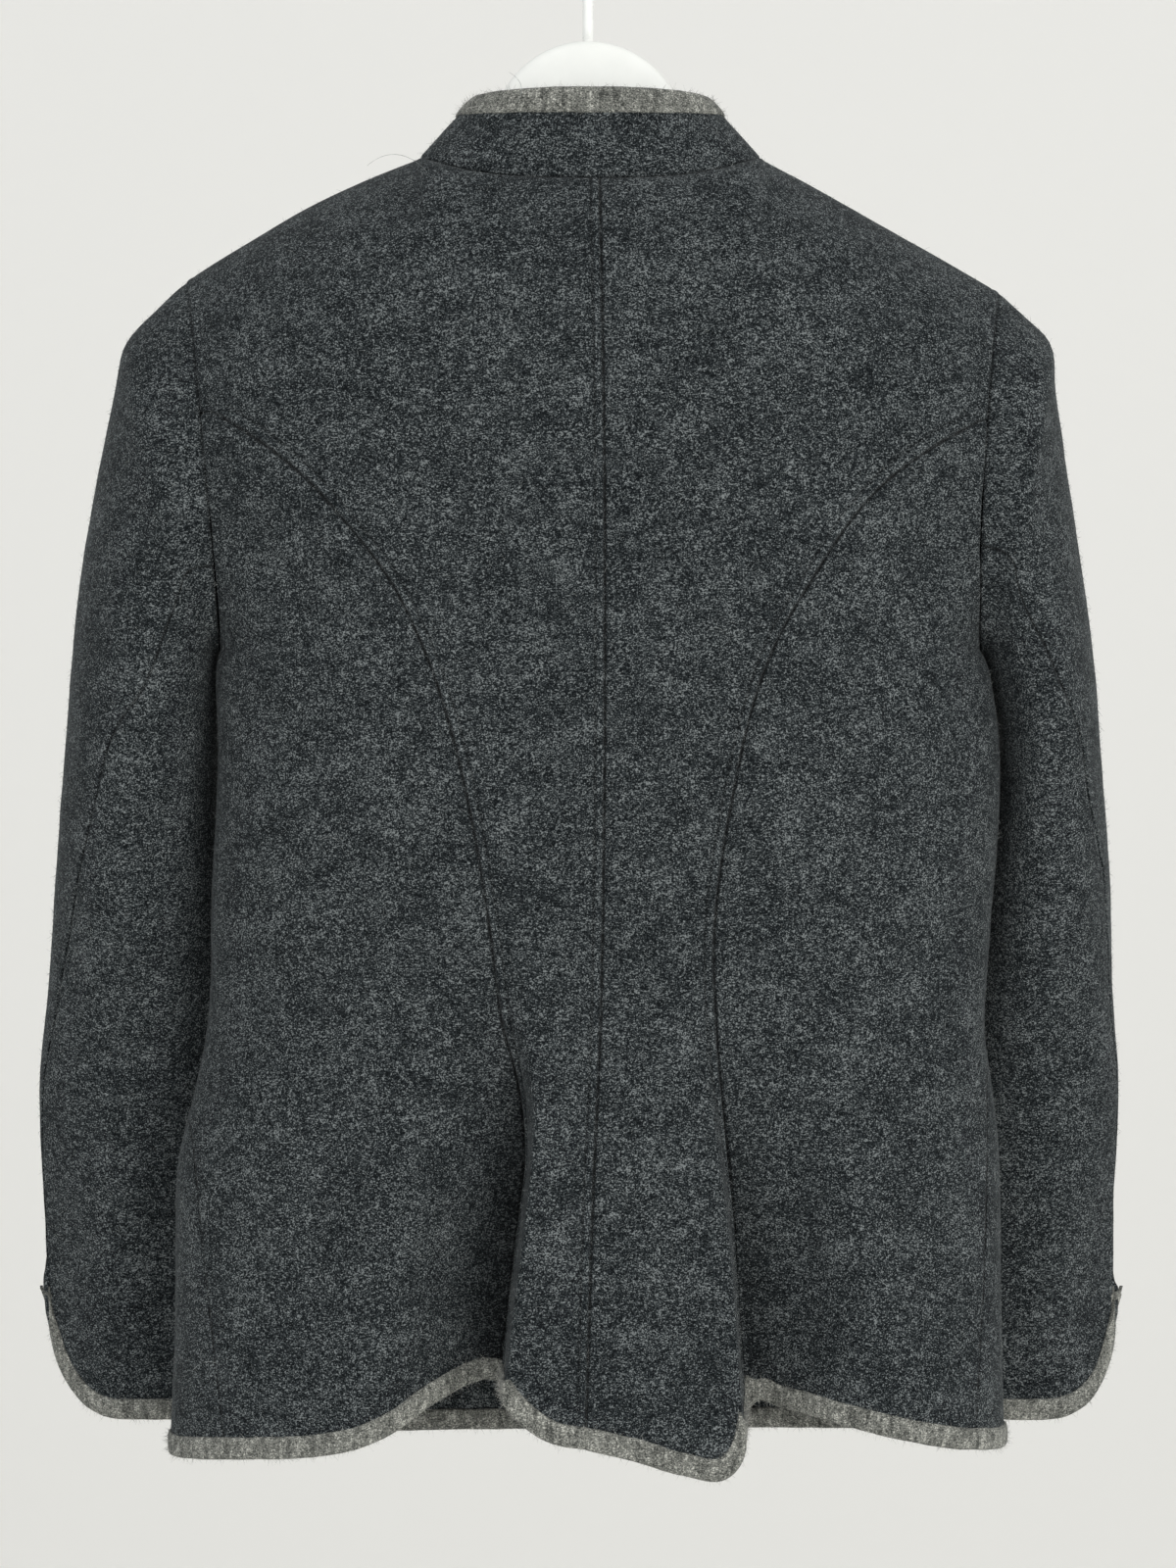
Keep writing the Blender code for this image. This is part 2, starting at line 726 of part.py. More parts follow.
def cell_triangles(cells, rising):
    """Two triangles for each cell, as grid places; rising gives the way they are split."""
    found = []
    for i, j in cells:
        a, b, c, d = (i, j), (i, j + 1), (i + 1, j + 1), (i + 1, j)
        found += [(a, b, c), (a, c, d)] if rising else [(a, b, d), (b, c, d)]
    return found


def zipped(upper, lower):
    """Triangles between two runs of grid places, joined by their share along each."""
    found = []
    i, j = 0, 0
    while i < len(upper) - 1 or j < len(lower) - 1:
        if (i + 1) * (len(lower) - 1) <= (j + 1) * (len(upper) - 1) and i < len(upper) - 1:
            found.append((upper[i], upper[i + 1], lower[j]))
            i += 1
        else:
            found.append((upper[i], lower[j + 1], lower[j]))
            j += 1
    return found


def drawn_in(points, normals, border):
    """Border points moved in along the surface by half a seam gap, square to both edges that meet there."""
    pulls = {}
    for here, there in border:
        along = unit(points[there] - points[here])
        for spot in (here, there):
            pulls.setdefault(spot, []).append(unit(np.cross(normals[spot], along)))
    moved = points.copy()
    for spot, (first, second) in pulls.items():
        share = max(1 + first.dot(second), 0.35)
        moved[spot] += (first + second) / share * SEAM_GAP / 2
    return moved


def add_panel(name, grid, normals, place_triangles):
    """A cloth wall behind some triangles of a grid of outer points, half a seam gap short all round."""
    numbers = {}
    points = []
    point_normals = []
    triangles = []
    for places in place_triangles:
        corners = []
        for place in places:
            key = tuple(np.round(grid[place], 6))
            if key not in numbers:
                numbers[key] = len(points)
                points.append(grid[place])
                point_normals.append(normals[place])
            corners.append(numbers[key])
        if len(set(corners)) == 3:
            triangles.append(tuple(corners))
    points = np.array(points)
    point_normals = np.array(point_normals)
    a, b, c = (points[[triangle[k] for triangle in triangles]] for k in range(3))
    first = point_normals[[triangle[0] for triangle in triangles]]
    if np.sum(np.cross(b - a, c - a) * first) < 0:
        triangles = [triangle[::-1] for triangle in triangles]
    edges = {edge for t in triangles for edge in ((t[0], t[1]), (t[1], t[2]), (t[2], t[0]))}
    border = sorted(edge for edge in edges if edge[::-1] not in edges)
    outer = drawn_in(points, point_normals, border)
    inner = outer - point_normals * WALL
    count = len(points)
    faces = list(triangles) + [tuple(count + k for k in triangle[::-1]) for triangle in triangles]
    for here, there in border:
        faces += [(there, here, count + here), (there, count + here, count + there)]
    return add_object(name, np.concatenate([outer, inner]), faces, CLOTH)


def all_cells(grid):
    return [(i, j) for i in range(grid.shape[0] - 1) for j in range(grid.shape[1] - 1)]


def all_triangles(grid, rising):
    return cell_triangles(all_cells(grid), rising)


def binding_ring(edge, edge_normal, upper, upper_normal):
    """The U-shaped section of a binding round a cloth edge, from the panel's points moved out."""
    far = LAY_GAP + BINDING_CLOTH
    down = unit(edge - upper)
    return [
        upper + upper_normal * far,
        edge + edge_normal * far + down * far,
        edge - edge_normal * (WALL + far) + down * far,
        upper - upper_normal * (WALL + far),
        upper - upper_normal * (WALL + LAY_GAP),
        edge - edge_normal * (WALL + LAY_GAP) + down * LAY_GAP,
        edge + edge_normal * LAY_GAP + down * LAY_GAP,
        upper + upper_normal * LAY_GAP,
    ]


def joined_rings(count, size, splits):
    """Triangles between rings of points, and the two end caps left out."""
    faces = []
    for i in range(count - 1):
        for j in range(size):
            k = (j + 1) % size
            a, b = i * size + j, i * size + k
            c, d = (i + 1) * size + k, (i + 1) * size + j
            faces += [(a, b, c), (a, c, d)] if splits(i, j) else [(a, b, d), (b, c, d)]
    return faces


def add_binding(name, stations, rising):
    """A strip through the sections at these stations. rising has the panel's split at each step."""
    points = [place for station in stations for place in binding_ring(*station)]
    faces = joined_rings(len(stations), 8, lambda i, j: (j not in (2, 6)) == rising[i])
    cap = [(0, 1, 6), (0, 6, 7), (1, 2, 5), (1, 5, 6), (2, 3, 4), (2, 4, 5)]
    last = (len(stations) - 1) * 8
    faces += [face[::-1] for face in cap]
    faces += [tuple(last + k for k in face) for face in cap]
    return add_object(name, points, faces, BINDING)


def moved_along(station, other, reach):
    """A station moved away from another one by this reach."""
    edge, normal, upper, upper_normal = station
    move = unit(edge - other[0]) * reach
    return (edge + move, normal, upper + move, upper_normal)


# Hanger

def arm_top_drop(side, out):
    """The hanger's upper line: the hub's round, then the inside of the shoulder."""
    if out <= HUB_EDGE_OUT:
        return HUB_TOP_DROP + HUB_RADIUS - math.sqrt(HUB_RADIUS**2 - out**2)
    neck = neck_side_out(side)
    lay = (WALL + ARM_CLEARANCE) / math.cos(SHOULDER_SLOPE)
    if out < neck:
        return NECK_SIDE_DROP + lay + ARM_NECK_DIP
    return top_line(side, 1, out)[1] + lay + ARM_NECK_DIP * (1 - smoothstep((out - neck) / ARM_RISE))


def hanger_ring(side, out):
    """An eight-sided section of the hanger at this distance out."""
    top = arm_top_drop(side, out)
    share = smoothstep((out - 30) / 50)
    bottom = lerp(HUB_BOTTOM_DROP, top + ARM_HEIGHT, share)
    half = lerp(HUB_THICKNESS, ARM_THICKNESS, share) / 2
    cut = 0.6 * half
    outline = (
        (cut - half, top),
        (half - cut, top),
        (half, top + cut),
        (half, bottom - cut),
        (half - cut, bottom),
        (cut - half, bottom),
        (-half, bottom - cut),
        (-half, top + cut),
    )
    return [point(out, deep, drop, side) for deep, drop in outline]


def add_hanger():
    """The moulded hanger: a round hub in the neck and two arms below the shoulders."""
    hub = steps(0, HUB_EDGE_OUT, 8)[1:]
    outs = hub + [55.0, 74.0] + steps(neck_side_out(1), ARM_TIP_OUT, 8)
    rings = [hanger_ring(-1, out) for out in outs[::-1]]
    rings += [hanger_ring(1, out) for out in [0.0] + outs]
    points = [place for ring in rings for place in ring]
    faces = joined_rings(len(rings), 8, lambda i, j: True)
    last = (len(rings) - 1) * 8
    for k in range(1, 7):
        faces.append((0, k + 1, k))
        faces.append((last, last + k, last + k + 1))
    return add_object("hanger_body", points, faces, PLASTIC)


def hook_path():
    """The wire's middle line: straight up from the hub, then round over the rail."""
    radius = HOOK_INNER_RADIUS + HOOK_WIRE / 2
    straight = [point(0, 0, drop) for drop in (HUB_TOP_DROP - LAY_GAP, 67.0, HOOK_STRAIGHT_TOP)]
    bend = [point(3.0, 0, HOOK_STRAIGHT_TOP - 4.0)]
    turns = steps(math.radians(-64), math.radians(205), 26)
    arc = [point(radius * math.cos(turn), 0, HOOK_INNER_RADIUS - radius * math.sin(turn)) for turn in turns]
    return straight + bend + arc


def add_hook():
    """The hook, a bent wire with a white coating."""
    curve = bpy.data.curves.new("hanger_hook", "CURVE")
    curve.dimensions = "3D"
    curve.bevel_depth = HOOK_WIRE / 2 * MM
    curve.bevel_resolution = 2
    curve.use_fill_caps = True
    path = hook_path()
    spline = curve.splines.new("POLY")
    spline.points.add(len(path) - 1)
    for spot, place in zip(spline.points, path):
        spot.co = (*(place * MM), 1.0)
    spline.use_smooth = True
    curve.materials.append(material("hanger_hook", COATED_WIRE))
    made = bpy.data.objects.new("hanger_hook", curve)
    bpy.context.scene.collection.objects.link(made)
    return made


# Assembly

def cloth_grids():
    """Every cloth piece's outer points, by name."""
    torso = {(side, facing): torso_grid(side, facing) for side in (-1, 1) for facing in (-1, 1)}
    grids = {f"{FACING_NAME[facing]}_{side_name(side)}": grid for (side, facing), grid in torso.items()}
    for side in (-1, 1):
        for piece in ("top", "under"):
            grids[f"sleeve_{piece}_{side_name(side)}"] = sleeve_grid(side, piece)
    grids["collar"] = collar_grid(torso)
    return grids


def add_backs(side, grid, normals):
    """The centre back and the side back, which meet at the curved seam."""
    top, last = PRINCESS_ROW, grid.shape[1] - 1
    inside = [cell for cell in all_cells(grid) if cell[0] < top or (cell[0] > top and cell[1] < SEAM_COLUMN)]
    beside = [cell for cell in all_cells(grid) if cell[0] > top and cell[1] >= SEAM_COLUMN]
    joint = zipped([(top, j) for j in range(last + 1)], [(top + 1, j) for j in range(SEAM_COLUMN + 1)])
    point_of_side = zipped([(top, last)], [(top + 1, j) for j in range(SEAM_COLUMN, last + 1)])
    add_panel(f"back_centre_{side_name(side)}", grid, normals, cell_triangles(inside, side > 0) + joint)
    add_panel(f"back_side_{side_name(side)}", grid, normals, cell_triangles(beside, side > 0) + point_of_side)


def edge_stations(grid, normals, columns):
    """Stations along the last row, with the row above as the binding's upper edge."""
    return [(grid[-1, j], normals[-1, j], grid[-2, j], normals[-2, j]) for j in columns]


def add_hem_binding(grids, normals):
    """One strip round the hem, from the left front edge by the back to the right."""
    stations = []
    for name, forward in (("front_left", True), ("back_left", False), ("back_right", True), ("front_right", False)):
        last = grids[name].shape[1] - 1
        start = 1 if name.startswith("front") else 0
        columns = range(start, last + 1) if forward else range(last, start - 1, -1)
        found = edge_stations(grids[name], normals[name], columns)
        stations += found[1:] if stations else found
    stations[0] = moved_along(stations[0], stations[1], -LAY_GAP)
    stations[-1] = moved_along(stations[-1], stations[-2], -LAY_GAP)
    add_binding("hem_binding", stations, [True] * len(stations))


def add_collar_binding(grid, normals):
    """The strip along the collar's top edge."""
    stations = edge_stations(grid, normals, range(1, grid.shape[1] - 1))
    stations[0] = moved_along(stations[0], stations[1], -LAY_GAP)
    stations[-1] = moved_along(stations[-1], stations[-2], -LAY_GAP)
    add_binding("collar_binding", stations, [True] * len(stations))


def add_front_binding(side, grids, normals):
    """The strip down one front edge, from the collar's top to the hem."""
    collar, collar_normals = grids["collar"], normals["collar"]
    first, second = (0, 1) if side < 0 else (-1, -2)
    stations = []
    for i in range(len(COLLAR_HEIGHTS) - 1, 0, -1):
        found = (collar[i, first], collar_normals[i, first], collar[i, second], collar_normals[i, second])
        stations.append(found)
    name = f"front_{side_name(side)}"
    front, front_normals = grids[name], normals[name]
    for i in range(front.shape[0]):
        stations.append((front[i, 0], front_normals[i, 0], front[i, 1], front_normals[i, 1]))
    far = LAY_GAP + BINDING_CLOTH
    stations[0] = moved_along(stations[0], stations[1], far)
    stations[-1] = moved_along(stations[-1], stations[-2], far)
    on_collar = len(COLLAR_HEIGHTS) - 1
    rising = [(i < on_collar) == (side < 0) for i in range(len(stations))]
    add_binding(f"front_binding_{side_name(side)}", stations, rising)


def add_cuff_binding(side, grids, normals):
    """The strip round one cuff, from one corner of the vent to the other."""
    stations = []
    for piece, forward in (("top", True), ("under", False)):
        name = f"sleeve_{piece}_{side_name(side)}"
        last = grids[name].shape[1] - 1
        columns = range(1, last + 1) if forward else range(last, 0, -1)
        found = edge_stations(grids[name], normals[name], columns)
        stations += found[1:] if stations else found
    stations[0] = moved_along(stations[0], stations[1], -2 * LAY_GAP)
    stations[-1] = moved_along(stations[-1], stations[-2], -2 * LAY_GAP)
    add_binding(f"cuff_binding_{side_name(side)}", stations, [True] * len(stations))


def main():
    for old in list(bpy.data.objects):
        bpy.data.objects.remove(old)
    grids = cloth_grids()
    normals = share_normals(grids, {name: grid_normals(grid) for name, grid in grids.items()})
    for side in (-1, 1):
        back = f"back_{side_name(side)}"
        add_backs(side, grids[back], normals[back])
        front = f"front_{side_name(side)}"
        add_panel(front, grids[front], normals[front], all_triangles(grids[front], side < 0))
        for piece in ("top", "under"):
            sleeve = f"sleeve_{piece}_{side_name(side)}"
            add_panel(sleeve, grids[sleeve], normals[sleeve], all_triangles(grids[sleeve], piece == "top"))
        add_cuff_binding(side, grids, normals)
        add_front_binding(side, grids, normals)
    collar = grids["collar"]
    raised = collar.copy()
    raised[0] += [LAY_GAP * unit(above - base) for base, above in zip(collar[0], collar[1])]
    add_panel("collar", raised, normals["collar"], all_triangles(collar, True))
    add_collar_binding(grids["collar"], normals["collar"])
    add_hem_binding(grids, normals)
    add_hanger()
    add_hook()


main()
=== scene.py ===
import math
from bisect import bisect_right

import bmesh
import bpy
import numpy as np
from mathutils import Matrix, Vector, noise


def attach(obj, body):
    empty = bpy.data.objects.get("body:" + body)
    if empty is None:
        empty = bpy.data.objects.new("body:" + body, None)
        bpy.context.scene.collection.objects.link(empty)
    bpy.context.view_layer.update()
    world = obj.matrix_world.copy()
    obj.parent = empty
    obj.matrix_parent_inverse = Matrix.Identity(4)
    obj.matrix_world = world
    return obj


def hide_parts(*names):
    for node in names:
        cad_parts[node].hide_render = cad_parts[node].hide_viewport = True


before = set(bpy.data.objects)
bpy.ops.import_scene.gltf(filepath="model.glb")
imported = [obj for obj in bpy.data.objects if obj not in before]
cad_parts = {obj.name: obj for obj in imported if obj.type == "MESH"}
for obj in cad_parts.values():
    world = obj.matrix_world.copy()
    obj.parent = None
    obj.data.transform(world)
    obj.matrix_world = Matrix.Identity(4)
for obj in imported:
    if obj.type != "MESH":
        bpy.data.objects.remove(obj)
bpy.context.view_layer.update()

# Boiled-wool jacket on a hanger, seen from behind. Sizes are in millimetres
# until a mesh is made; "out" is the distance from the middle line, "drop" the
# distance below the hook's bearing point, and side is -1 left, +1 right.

mm = 0.001

jacket = {
    "wall": 2.3,
    "rowStep": 4.4,
    "upperRows": 54,
    "lowerLength": 430.0,
    "frontEdge": 2.4,
    "neckCentre": 1.3,
    "neckRound": 70.0,
    "princessRow": 5 / 12,
    "seamTip": 3.0,
    "foldStart": 560.0,
    "foldSoftness": 2.0,
    "tailHollow": 0.78,
    "centreHemDrop": 826.0,
    "frontHemDrop": 840.0,
    "sideHemDrop": {-1: 840.0, 1: 836.0},
    "flank": {-1: 76.0, 1: 78.0},
    "armholeBow": {-1: 5.0, 1: 7.0},
    "shoulderArch": {-1: 5.0, 1: 1.0},
    "squareness": {-1: 2.5, 1: 2.1},
    "cuffDrop": 830.0,
    "cuffVent": 54.0,
    "cuffCorner": 48.0,
    "cuffNotch": 2.0,
    "cuffPinch": 0.8,
}

# the collar's two edges: half their width, how far they reach back and forward, and their drops
neckEdges = {
    "base": {"halfWidth": 93.0, "back": 50.0, "front": 62.0,
             "backDrop": 161.0, "sideDrop": 144.5, "frontDrop": 214.0},
    "top": {"halfWidth": 65.0, "back": 41.0, "front": 50.0,
            "backDrop": 113.0, "sideDrop": 114.0, "frontDrop": 172.0},
}


class Table:
    # rows of sizes under named columns; the first column is the key, which rises
    def __init__(self, columns, *rows):
        self.key = [float(row[0]) for row in rows]
        self.column = {}
        self.slope = {}
        for i, name in enumerate(columns):
            values = [float(row[i]) for row in rows]
            steps = [(b - a) / (q - p) for a, b, p, q in zip(values, values[1:], self.key, self.key[1:])]
            middle = [(a + b) / 2 for a, b in zip(steps, steps[1:])]
            self.column[name] = values
            self.slope[name] = [steps[0]] + middle + [steps[-1]]

    def at(self, name, key):
        x, y, slope = self.key, self.column[name], self.slope[name]
        key = min(max(key, x[0]), x[-1])
        i = min(max(bisect_right(x, key) - 1, 0), len(x) - 2)
        width = x[i + 1] - x[i]
        t = (key - x[i]) / width
        value = y[i] * (2 * t**3 - 3 * t**2 + 1) + y[i + 1] * (3 * t**2 - 2 * t**3)
        return value + width * (slope[i] * (t**3 - 2 * t**2 + t) + slope[i + 1] * (t**3 - t**2))


sides = Table(
    ("drop", "left", "right"),
    (410, 199.0, 212.0), (416, 201.0, 215.4), (424, 201.5, 217.8), (434, 201.4, 219.6), (446, 201.0, 221.4),
    (462, 200.2, 222.6), (494, 201.0, 222.8), (545, 203.5, 219.0),
    (588, 204.5, 215.5), (616, 206.5, 214.3), (646, 212.5, 218.5), (683, 221.5, 222.5),
    (747, 223.3, 223.5), (800, 224.5, 224.5), (840, 226.0, 225.5),
)

depths = Table(
    ("drop", "back", "front"),
    (140, 62.0, 66.0), (220, 77.0, 74.0), (290, 83.0, 82.0), (350, 85.0, 87.0), (430, 85.0, 85.0),
    (500, 83.0, 83.0), (600, 72.0, 75.0), (680, 73.0, 79.0), (760, 76.0, 82.0), (840, 79.0, 84.0),
)

centreBack = Table(("drop", "out"), (161, 6.2), (330, 8.7), (600, 6.8), (700, 2.6), (835, -1.5))

# the curved seams from the armholes to the hem
princess = Table(
    ("drop", "left", "right"),
    (270, 225.0, 236.0), (284, 200.5, 216.0), (290, 190.5, 207.0), (302, 172.0, 186.0),
    (322, 147.5, 158.0), (343, 128.5, 138.5), (374, 104.5, 117.9), (400, 91.0, 102.4),
    (430, 78.8, 89.6), (488, 63.5, 75.8), (556, 51.9, 66.5), (607, 45.3, 67.4),
    (640, 37.0, 70.0), (675, 34.0, 73.5), (710, 37.0, 77.0), (742, 40.5, 79.5),
    (795, 46.5, 83.0), (835, 49.5, 84.5),
)

# the tail: its crest's distance inside the seam and height, and the seam's depth
folds = {
    -1: Table(
        ("drop", "width", "crest", "valley"),
        (560, 20.0, 0.0, 0.0), (620, 12.0, 3.0, 8.0), (675, 4.5, 9.0, 26.0),
        (742, 3.6, 14.0, 40.0), (840, 4.0, 18.0, 44.0),
    ),
    1: Table(
        ("drop", "width", "crest", "valley"),
        (560, 20.0, 0.0, 0.0), (630, 9.0, 2.0, 3.0), (690, 5.0, 8.0, 16.0),
        (742, 4.0, 13.0, 30.0), (840, 3.6, 18.0, 38.0),
    ),
}

backHem = {
    -1: Table(
        ("out", "drop"),
        (1, 826.0), (20, 822.0), (38, 809.0), (44, 802.0), (51, 797.0), (62, 798.5),
        (82, 808.0), (104, 822.0), (130, 831.0), (190, 837.0), (226, 840.0),
    ),
    1: Table(
        ("out", "drop"),
        (-1, 826.0), (25, 832.0), (50, 839.0), (72, 840.5), (79, 832.0), (85, 812.0),
        (104, 811.5), (130, 817.0), (160, 824.0), (190, 831.0), (226, 836.0),
    ),
}

ringColumns = ("ring", "outer", "outerDrop", "inner", "innerDrop", "mid", "depth")
sleeves = {
    -1: Table(
        ringColumns,
        (0, 217.3, 210.5, 199.0, 410.0, 0.0, 49.0), (1, 233.5, 226.0, 200.4, 412.5, 1.0, 52.0),
        (2, 249.5, 243.5, 200.8, 416.0, 3.0, 55.0), (3, 255.5, 268.0, 200.8, 422.0, 7.0, 57.0),
        (4, 263.5, 302.0, 200.6, 431.0, 12.0, 58.0), (5, 272.0, 344.0, 200.4, 442.0, 17.0, 59.0),
        (6, 280.5, 402.0, 200.4, 458.0, 23.0, 59.0), (7, 286.0, 462.0, 199.5, 482.0, 30.0, 58.0),
        (8, 292.0, 528.0, 196.0, 530.0, 40.0, 53.0), (9, 297.5, 590.0, 192.5, 590.0, 51.0, 45.0),
        (10, 304.0, 650.0, 191.0, 650.0, 58.0, 37.0), (11, 302.0, 715.0, 187.0, 715.0, 65.0, 31.0),
        (12, 300.0, 780.0, 184.0, 780.0, 69.0, 27.0), (13, 299.0, 834.0, 182.0, 834.0, 71.0, 25.0),
    ),
    1: Table(
        ringColumns,
        (0, 222.6, 216.7, 212.0, 410.0, 0.0, 49.0), (1, 235.0, 229.0, 214.0, 412.5, 1.0, 52.0),
        (2, 249.5, 244.0, 215.4, 416.0, 3.0, 55.0), (3, 252.5, 268.0, 216.8, 422.0, 7.0, 57.0),
        (4, 258.5, 302.0, 218.2, 431.0, 13.0, 58.0), (5, 265.5, 344.0, 220.4, 442.0, 19.0, 59.0),
        (6, 274.0, 402.0, 222.0, 458.0, 26.0, 60.0), (7, 280.0, 462.0, 220.5, 482.0, 33.0, 61.0),
        (8, 286.5, 528.0, 214.5, 530.0, 43.0, 56.0), (9, 289.5, 590.0, 207.5, 590.0, 54.0, 48.0),
        (10, 294.0, 650.0, 201.0, 650.0, 60.0, 38.0), (11, 292.0, 715.0, 192.0, 715.0, 66.0, 32.0),
        (12, 293.5, 780.0, 188.0, 780.0, 70.0, 28.0), (13, 296.0, 834.0, 186.0, 834.0, 72.0, 26.0),
    ),
}

# angles of the elbow seam on each side and of the forearm seam
sleeveSeams = Table(
    ("ring", "left", "right", "forearm"),
    (0, 124.0, 116.0, -135.0), (4.6, 108.0, 104.0, -145.0), (6, 94.0, 82.0, -148.0),
    (6.8, 72.0, 61.0, -150.0), (7.5, 59.0, 50.0, -151.0), (8, 51.0, 37.0, -152.0),
    (9.5, 27.0, 19.0, -154.0), (11, 8.0, 6.0, -156.0), (13, 0.0, 0.0, -156.0),
)

# the side seams turn on to the back towards the hem
sideSeams = Table(
    ("drop", "left", "right"),
    (600, 230.0, 222.0), (622, 224.0, 214.8), (640, 219.0, 213.8), (652, 216.5, 213.7),
    (667, 212.7, 213.5), (679, 210.7, 213.4), (712, 207.0, 212.6), (745, 203.4, 211.2),
    (796, 197.2, 208.4), (840, 191.5, 205.8),
)

# soft troughs (depth below 0) and rolls (above 0) along a bent line, by face:
# x is across, to the right from behind, and each line has a start, middle, end
creaseColumns = ("face", "x0", "drop0", "x1", "drop1", "x2", "drop2", "width", "depth")
creases = (
    ("back", -196, 330, -170, 372, -128, 398, 13, -2.6),
    ("back", -192, 306, -160, 330, -118, 342, 16, 1.5),
    ("back", 208, 318, 186, 366, 150, 400, 14, -2.4),
    ("back", 214, 360, 196, 410, 170, 440, 13, 1.8),
    ("back", -190, 425, -165, 470, -120, 498, 18, -1.8),
    ("back", 205, 470, 180, 500, 140, 520, 18, -1.6),
    ("back", -95, 262, -60, 276, -22, 268, 15, -1.1),
    ("back", 40, 330, 74, 344, 112, 330, 16, -1.0),
    ("back", -60, 196, -90, 212, -130, 220, 13, -1.0),
    ("back", 96, 190, 120, 214, 152, 226, 12, -1.0),
    ("back", -28, 640, -31, 700, -27, 780, 7, -1.5),
    ("back", 40, 660, 47, 730, 50, 812, 9, -2.2),
    ("back", 60, 640, 66, 710, 64, 800, 6, 1.3),
    ("back", 104, 640, 116, 710, 112, 800, 12, -2.6),
    ("back", 140, 660, 150, 730, 148, 812, 16, 2.2),
    ("back", -92, 640, -100, 710, -96, 800, 15, 2.6),
    ("back", -140, 660, -152, 730, -160, 812, 16, -1.8),
    ("back", -200, 560, -170, 590, -130, 596, 14, -1.6),
    ("back", 205, 560, 176, 584, 140, 590, 14, -1.4),
    ("front", -190, 330, -150, 390, -110, 410, 15, -2.4),
    ("front", 200, 330, 160, 392, 118, 412, 15, -2.2),
    ("front", -70, 240, -52, 330, -58, 420, 18, 1.4),
    ("front", 74, 246, 56, 330, 60, 430, 18, 1.4),
    ("front", -150, 620, -158, 720, -150, 826, 18, -2.4),
    ("front", 156, 620, 150, 720, 158, 826, 18, -2.4),
    ("front", -88, 640, -80, 730, -86, 826, 16, 1.8),
    ("front", 90, 640, 96, 730, 88, 826, 16, 1.8),
    ("sleeve", -262, 470, -240, 520, -205, 540, 12, -2.4),
    ("sleeve", -280, 520, -255, 566, -215, 592, 13, 1.8),
    ("sleeve", -290, 600, -262, 632, -225, 640, 13, -2.2),
    ("sleeve", -250, 300, -240, 350, -226, 390, 12, -1.6),
    ("sleeve", -262, 690, -258, 740, -262, 800, 16, 1.8),
    ("sleeve", 258, 470, 250, 520, 226, 548, 12, -2.2),
    ("sleeve", 276, 520, 258, 560, 222, 580, 13, 1.8),
    ("sleeve", 284, 604, 262, 640, 228, 652, 13, -2.2),
    ("sleeve", 246, 300, 242, 350, 232, 396, 12, -1.8),
    ("sleeve", 262, 690, 256, 740, 262, 800, 16, 1.8),
)


def smoothstep(t):
    t = min(max(t, 0.0), 1.0)
    return t * t * (3 - 2 * t)


def quarterArc(t):
    t = min(max(t, 0.0), 1.0)
    return math.sqrt(1 - (1 - t) ** 2)


def lerp(a, b, t):
    return a + (b - a) * t


def sideName(side):
    return "left" if side < 0 else "right"


def unitRows(vectors):
    return vectors / np.maximum(np.linalg.norm(vectors, axis=-1, keepdims=True), 1e-9)


def place(out, deep, drop, side=1):
    return np.array([side * out, deep, -drop], float)


# Surface of the sleeves and the torso

def sleevePoint(side, ring, turn):
    table = sleeves[side]
    outer = place(table.at("outer", ring), 0, table.at("outerDrop", ring), side)
    inner = place(table.at("inner", ring), 0, table.at("innerDrop", ring), side)
    angle = math.radians(turn)
    found = (outer + inner) / 2 + (outer - inner) / 2 * math.cos(angle)
    found[0] -= side * jacket["armholeBow"][side] * max(0.0, 1 - ring) * abs(math.sin(angle))
    pinch = jacket["cuffPinch"] * smoothstep((ring - 9.5) / 2.5) * max(0.0, math.cos(angle)) ** 3
    found[1] = table.at("mid", ring) - table.at("depth", ring) * math.sin(angle) * (1 - pinch)
    return found


def neckSide(side):
    return neckEdges["base"]["halfWidth"] + side * jacket["neckCentre"]


def shoulderTip(side):
    return sleeves[side].at("outer", 0), sleeves[side].at("outerDrop", 0)


def underarmDrop(side):
    return sleeves[side].at("innerDrop", 0)


def neckCurve(edge, facing, across):
    # how far back or forward one of the collar's edges lies, and its drop
    power = 2.4 if facing < 0 else 2.2
    share = (1 - across**power) ** (1 / power)
    if facing < 0:
        return -edge["back"] * share, lerp(edge["backDrop"], edge["sideDrop"], across**3)
    return edge["front"] * share, lerp(edge["sideDrop"], edge["frontDrop"], share**1.5)


def topLine(side, facing, out):
    edge = neckSide(side)
    if out < edge:
        base = neckEdges["base"]
        return neckCurve(base, facing, min(abs(out - side * jacket["neckCentre"]) / base["halfWidth"], 1.0))
    tipOut, tipDrop = shoulderTip(side)
    along = (out - edge) / (tipOut - edge)
    arch = jacket["shoulderArch"][side] * math.sin(math.pi * along)
    return 0.0, lerp(neckEdges["base"]["sideDrop"], tipDrop, along) - arch


def middleOut(side, facing, drop):
    return side * centreBack.at("out", drop) if facing < 0 else 0.0


def bodyDepth(facing, out, drop, edgeOut, edgeDeep):
    power = jacket["squareness"][facing]
    depth = depths.at("back" if facing < 0 else "front", drop)
    reach = edgeOut / (1 - (edgeDeep / depth) ** power) ** (1 / power)
    return facing * depth * max(0.0, 1 - (abs(out) / reach) ** power) ** (1 / power)


